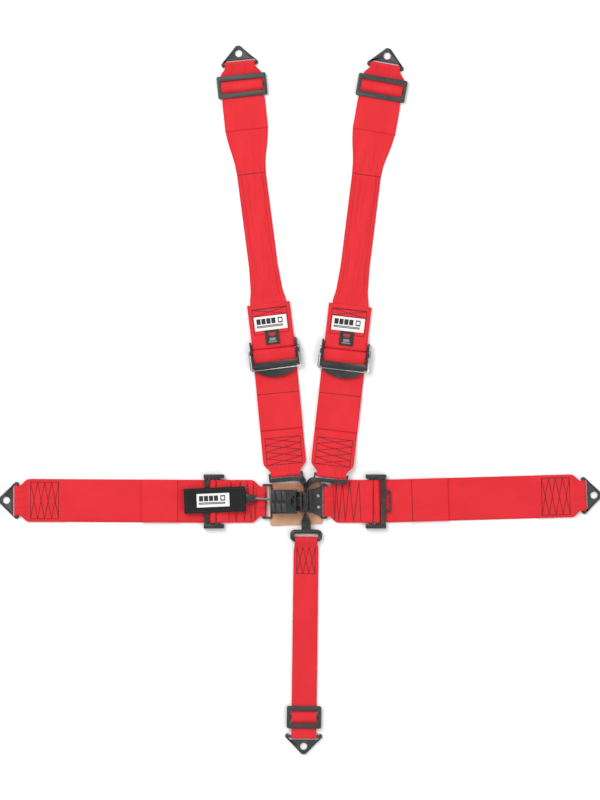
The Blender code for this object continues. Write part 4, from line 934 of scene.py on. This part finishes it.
def lay_label(name, at, rows, half, material, body, node, thickness, turned_print):
    """A thin label along (s, z) rows. Its print reads across the web when turned."""
    bpy.ops.object.select_all(action="DESELECT")
    bpy.ops.mesh.primitive_grid_add(x_subdivisions=10, y_subdivisions=len(rows) - 1, size=2.0)
    piece = bpy.context.object
    piece.name = piece.data.name = name
    mesh = piece.data
    first, last = min(s for s, _ in rows), max(s for s, _ in rows)
    spots = {}
    for vertex in mesh.vertices:
        row = round((vertex.co.y + 1) / 2 * (len(rows) - 1))
        side_of = round((vertex.co.x + 1) * 5) / 5 - 1
        s, z = rows[row]
        share = (s - first) / (last - first)
        spots[vertex.index] = ((1 - side_of) / 2, share) if turned_print else (share, (1 + side_of) / 2)
        vertex.co = at @ Vector((s, side_of * half, z))
    mesh.uv_layers[0].name = "print"
    for loop, spot in zip(mesh.loops, mesh.uv_layers["print"].data):
        spot.uv = spots[loop.vertex_index]
    choose(piece)
    applied(piece, "SOLIDIFY", "cloth thickness", thickness=thickness, offset=0.0)
    turn_faces_outward()
    bpy.ops.object.shade_smooth_by_angle(angle=math.radians(40.0))
    mesh.materials.clear()
    mesh.materials.append(material)
    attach(piece, body)
    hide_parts(node)
    return piece


for side, (tip, headings, _) in SHOULDERS.items():
    adjuster_frame = along(turned(*tip, headings[0]), TIP_TO_LOCK, headings[1] - headings[0])
    loop_frame = along(adjuster_frame, LOCK_TO_LOOP)
    body = f"{side}_shoulder_upper"
    under = THIRD_Z + WEB_T / 2 + GAP
    rows = [((28 + 25 * i / 10) * MM, under + 0.3 * MM) for i in range(11)]
    lay_label(f"{side}_shoulder_label_cloth", loop_frame, rows, 29 * MM, WHITE_LABEL, body,
              f"{side}_shoulder_label", 0.5 * MM, True)
    rows = finer([(2 * MM, ROD_Z + 5.2 * MM), (9 * MM, 9.0 * MM), (16 * MM, under + 1.9 * MM),
                  (22 * MM, under + 1.1 * MM), (27.4 * MM, under + 0.6 * MM)], 2.5 * MM)
    lay_label(f"{side}_shoulder_tag_cloth", loop_frame, rows, 12.5 * MM, BLACK_TAG, body,
              f"{side}_shoulder_hang_tag", 0.8 * MM, True)

    def on_label(s):
        return under + 0.5 * MM

    sew(f"{side}_shoulder_label_stitches", loop_frame, [box_of(29.2 * MM, 51.8 * MM, 27.8 * MM)],
        on_label, body,
        thread_finish(f"{side}_label_thread", (0.55, 0.55, 0.54), (0.72, 0.72, 0.70)),
        length=2.0 * MM, pitch=2.8 * MM, width=0.45 * MM)


# ---- Release tab ----------------------------------------------------------------------
# Doubled black webbing sewn round its edge, with a white label. A sleeve crimped to its
# end holds the lanyard that pulls the latch lever up.

LAP_LOCK_R = 3.5 * MM
TAB_Z = LAP_LOCK_Z + LAP_LOCK_R + GAP + WEB_T + GAP
tab_frame = turned(-162.0 * MM, 2.6 * MM, 2.5, TAB_Z)
tab_path = [(-55 * MM, 1.0 * MM), (-20 * MM, 1.0 * MM), (20 * MM, 1.0 * MM), (55 * MM, 1.0 * MM)]
lay_webbing("release_tab_webbing", tab_frame, tab_path, [(-55 * MM, 22.3 * MM), (55 * MM, 22.3 * MM)],
            BLACK_WEBBING, "release_tab", "release_tab",
            thickness=2.0 * MM)


def on_tab(s):
    return 2.0 * MM


edge = [box_of(-51 * MM, 51 * MM, 19.2 * MM), [(46.5 * MM, -19.2 * MM), (46.5 * MM, 19.2 * MM)]]
sew("release_tab_stitches", tab_frame, edge, on_tab, "release_tab", BLACK_THREAD, width=0.8 * MM)
rows = [((-32 + 58 * i / 16) * MM, 2.6 * MM) for i in range(17)]
lay_label("release_tab_label_cloth", tab_frame, rows, 12 * MM, WHITE_LABEL, "release_tab",
          "release_tab_label", 0.5 * MM, False)
sleeve = finish_steel("lanyard_crimp", "release_tab", BLACK_STEEL, 1.2 * MM)
to_tab = tab_frame.inverted()
SLEEVE_MOUTH = 73 * MM
SLEEVE_LENGTH = 17.7 * MM
for vertex in sleeve.data.vertices:
    place = to_tab @ vertex.co
    flare = min(1.0, max(0.0, (SLEEVE_MOUTH - place.x) / SLEEVE_LENGTH))
    vertex.co = tab_frame @ Vector((place.x, place.y * (0.8 + 1.4 * flare ** 1.3), place.z))

CORD_R = 1.9 * MM
cord_start = Vector((-63.8 * MM, 4.0 * MM, 15.0 * MM))
cord_end = tab_frame @ Vector((63.0 * MM, 0.0, 1.4 * MM))
sleeve_mouth = tab_frame @ Vector((73.3 * MM, 0.0, 1.4 * MM))
cord_line = [cord_start + (sleeve_mouth - cord_start) * (i / 12) for i in range(13)]
cord_line += [sleeve_mouth + (cord_end - sleeve_mouth) * (i / 5) for i in range(1, 6)]
curve = bpy.data.curves.new("lanyard_line", "CURVE")
curve.dimensions = "3D"
curve.bevel_depth = CORD_R
curve.bevel_resolution = 4
curve.use_fill_caps = True
line = curve.splines.new("POLY")
line.points.add(len(cord_line) - 1)
for point, place in zip(line.points, cord_line):
    point.co = (*place, 1.0)
lanyard = bpy.data.objects.new("lanyard_cord_line", curve)
bpy.context.scene.collection.objects.link(lanyard)
CORD, tree, shader = new_finish("grey_braided_cord")
blotch, grain, rub = rubbed(tree, 200.0, 3000.0, 0.4)[:]
place = add_node(tree, "ShaderNodeTexCoord").outputs["Object"]
braid = add_node(tree, "ShaderNodeTexWave", wave_type="BANDS", bands_direction="DIAGONAL")
braid.inputs["Scale"].default_value = 420.0
braid.inputs["Distortion"].default_value = 1.5
joined(tree, place, braid.inputs["Vector"])
strands = mixed_colour(tree, braid.outputs["Fac"], (0.10, 0.10, 0.105), (0.34, 0.34, 0.35))
joined(tree, mixed_colour(tree, rub, strands, (0.5, 0.5, 0.5)), shader.inputs["Base Color"])
joined(tree, spread(tree, blotch, 0.3, 0.7, 0.55, 0.75), shader.inputs["Roughness"])
relief(tree, shader, [(braid.outputs["Fac"], 0.6, 0.0004), (grain, 0.3, 0.0002)])
curve.materials.append(CORD)
choose(lanyard)
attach(lanyard, "release_tab")
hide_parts("lanyard_cord")


# ---- Studio ---------------------------------------------------------------------------
# The harness lies on a plain white floor under broad soft light, seen from straight above.

bpy.ops.object.select_all(action="DESELECT")
bpy.ops.mesh.primitive_plane_add(size=14.0, location=(0.0, 0.2, -0.3 * MM))
floor = bpy.context.object
floor.name = "studio_floor"
PAPER, tree, shader = new_finish("white_paper")
place = add_node(tree, "ShaderNodeTexCoord").outputs["Object"]
pulp = noise(tree, place, 30.0, 4.0)
joined(tree, mixed_colour(tree, pulp, (0.90, 0.90, 0.90), (0.93, 0.93, 0.93)), shader.inputs["Base Color"])
joined(tree, spread(tree, pulp, 0.3, 0.7, 0.9, 0.98), shader.inputs["Roughness"])
shader.inputs["Specular IOR Level"].default_value = 0.1
floor.data.materials.append(PAPER)
floor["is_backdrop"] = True

LIGHT_AIM = (0.0, 0.15, 0.0)
for name, place, size, power in (("key_light", (-1.4, 1.6, 2.6), 2.2, 66.0),
                                 ("fill_light", (1.8, -0.9, 2.4), 2.6, 26.0)):
    bpy.ops.object.light_add(type="AREA", location=place)
    light = bpy.context.object
    light.name = name
    light.data.shape = "DISK"
    light.data.size = size
    light.data.energy = power
    light.rotation_euler = (Vector(LIGHT_AIM) - Vector(place)).to_track_quat("-Z", "Y").to_euler()

WORLD_STRENGTH = 0.62
world = bpy.data.worlds.new("soft_studio")
bpy.context.scene.world = world
world.use_nodes = True
world.node_tree.nodes["Background"].inputs[0].default_value = (1.0, 1.0, 1.0, 1.0)
world.node_tree.nodes["Background"].inputs[1].default_value = WORLD_STRENGTH
bpy.context.scene.view_settings.view_transform = "Standard"

VIEW_HEIGHT = 1.424
CAMERA_UP = 5.0
SENSOR = 36.0
bpy.ops.object.camera_add(location=(-0.0107, 0.1803, CAMERA_UP), rotation=(0.0, 0.0, 0.0))
camera = bpy.context.object
camera.data.sensor_width = SENSOR
camera.data.lens = SENSOR * CAMERA_UP / VIEW_HEIGHT
camera.data.clip_end = 50.0
bpy.context.scene.camera = camera

low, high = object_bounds()
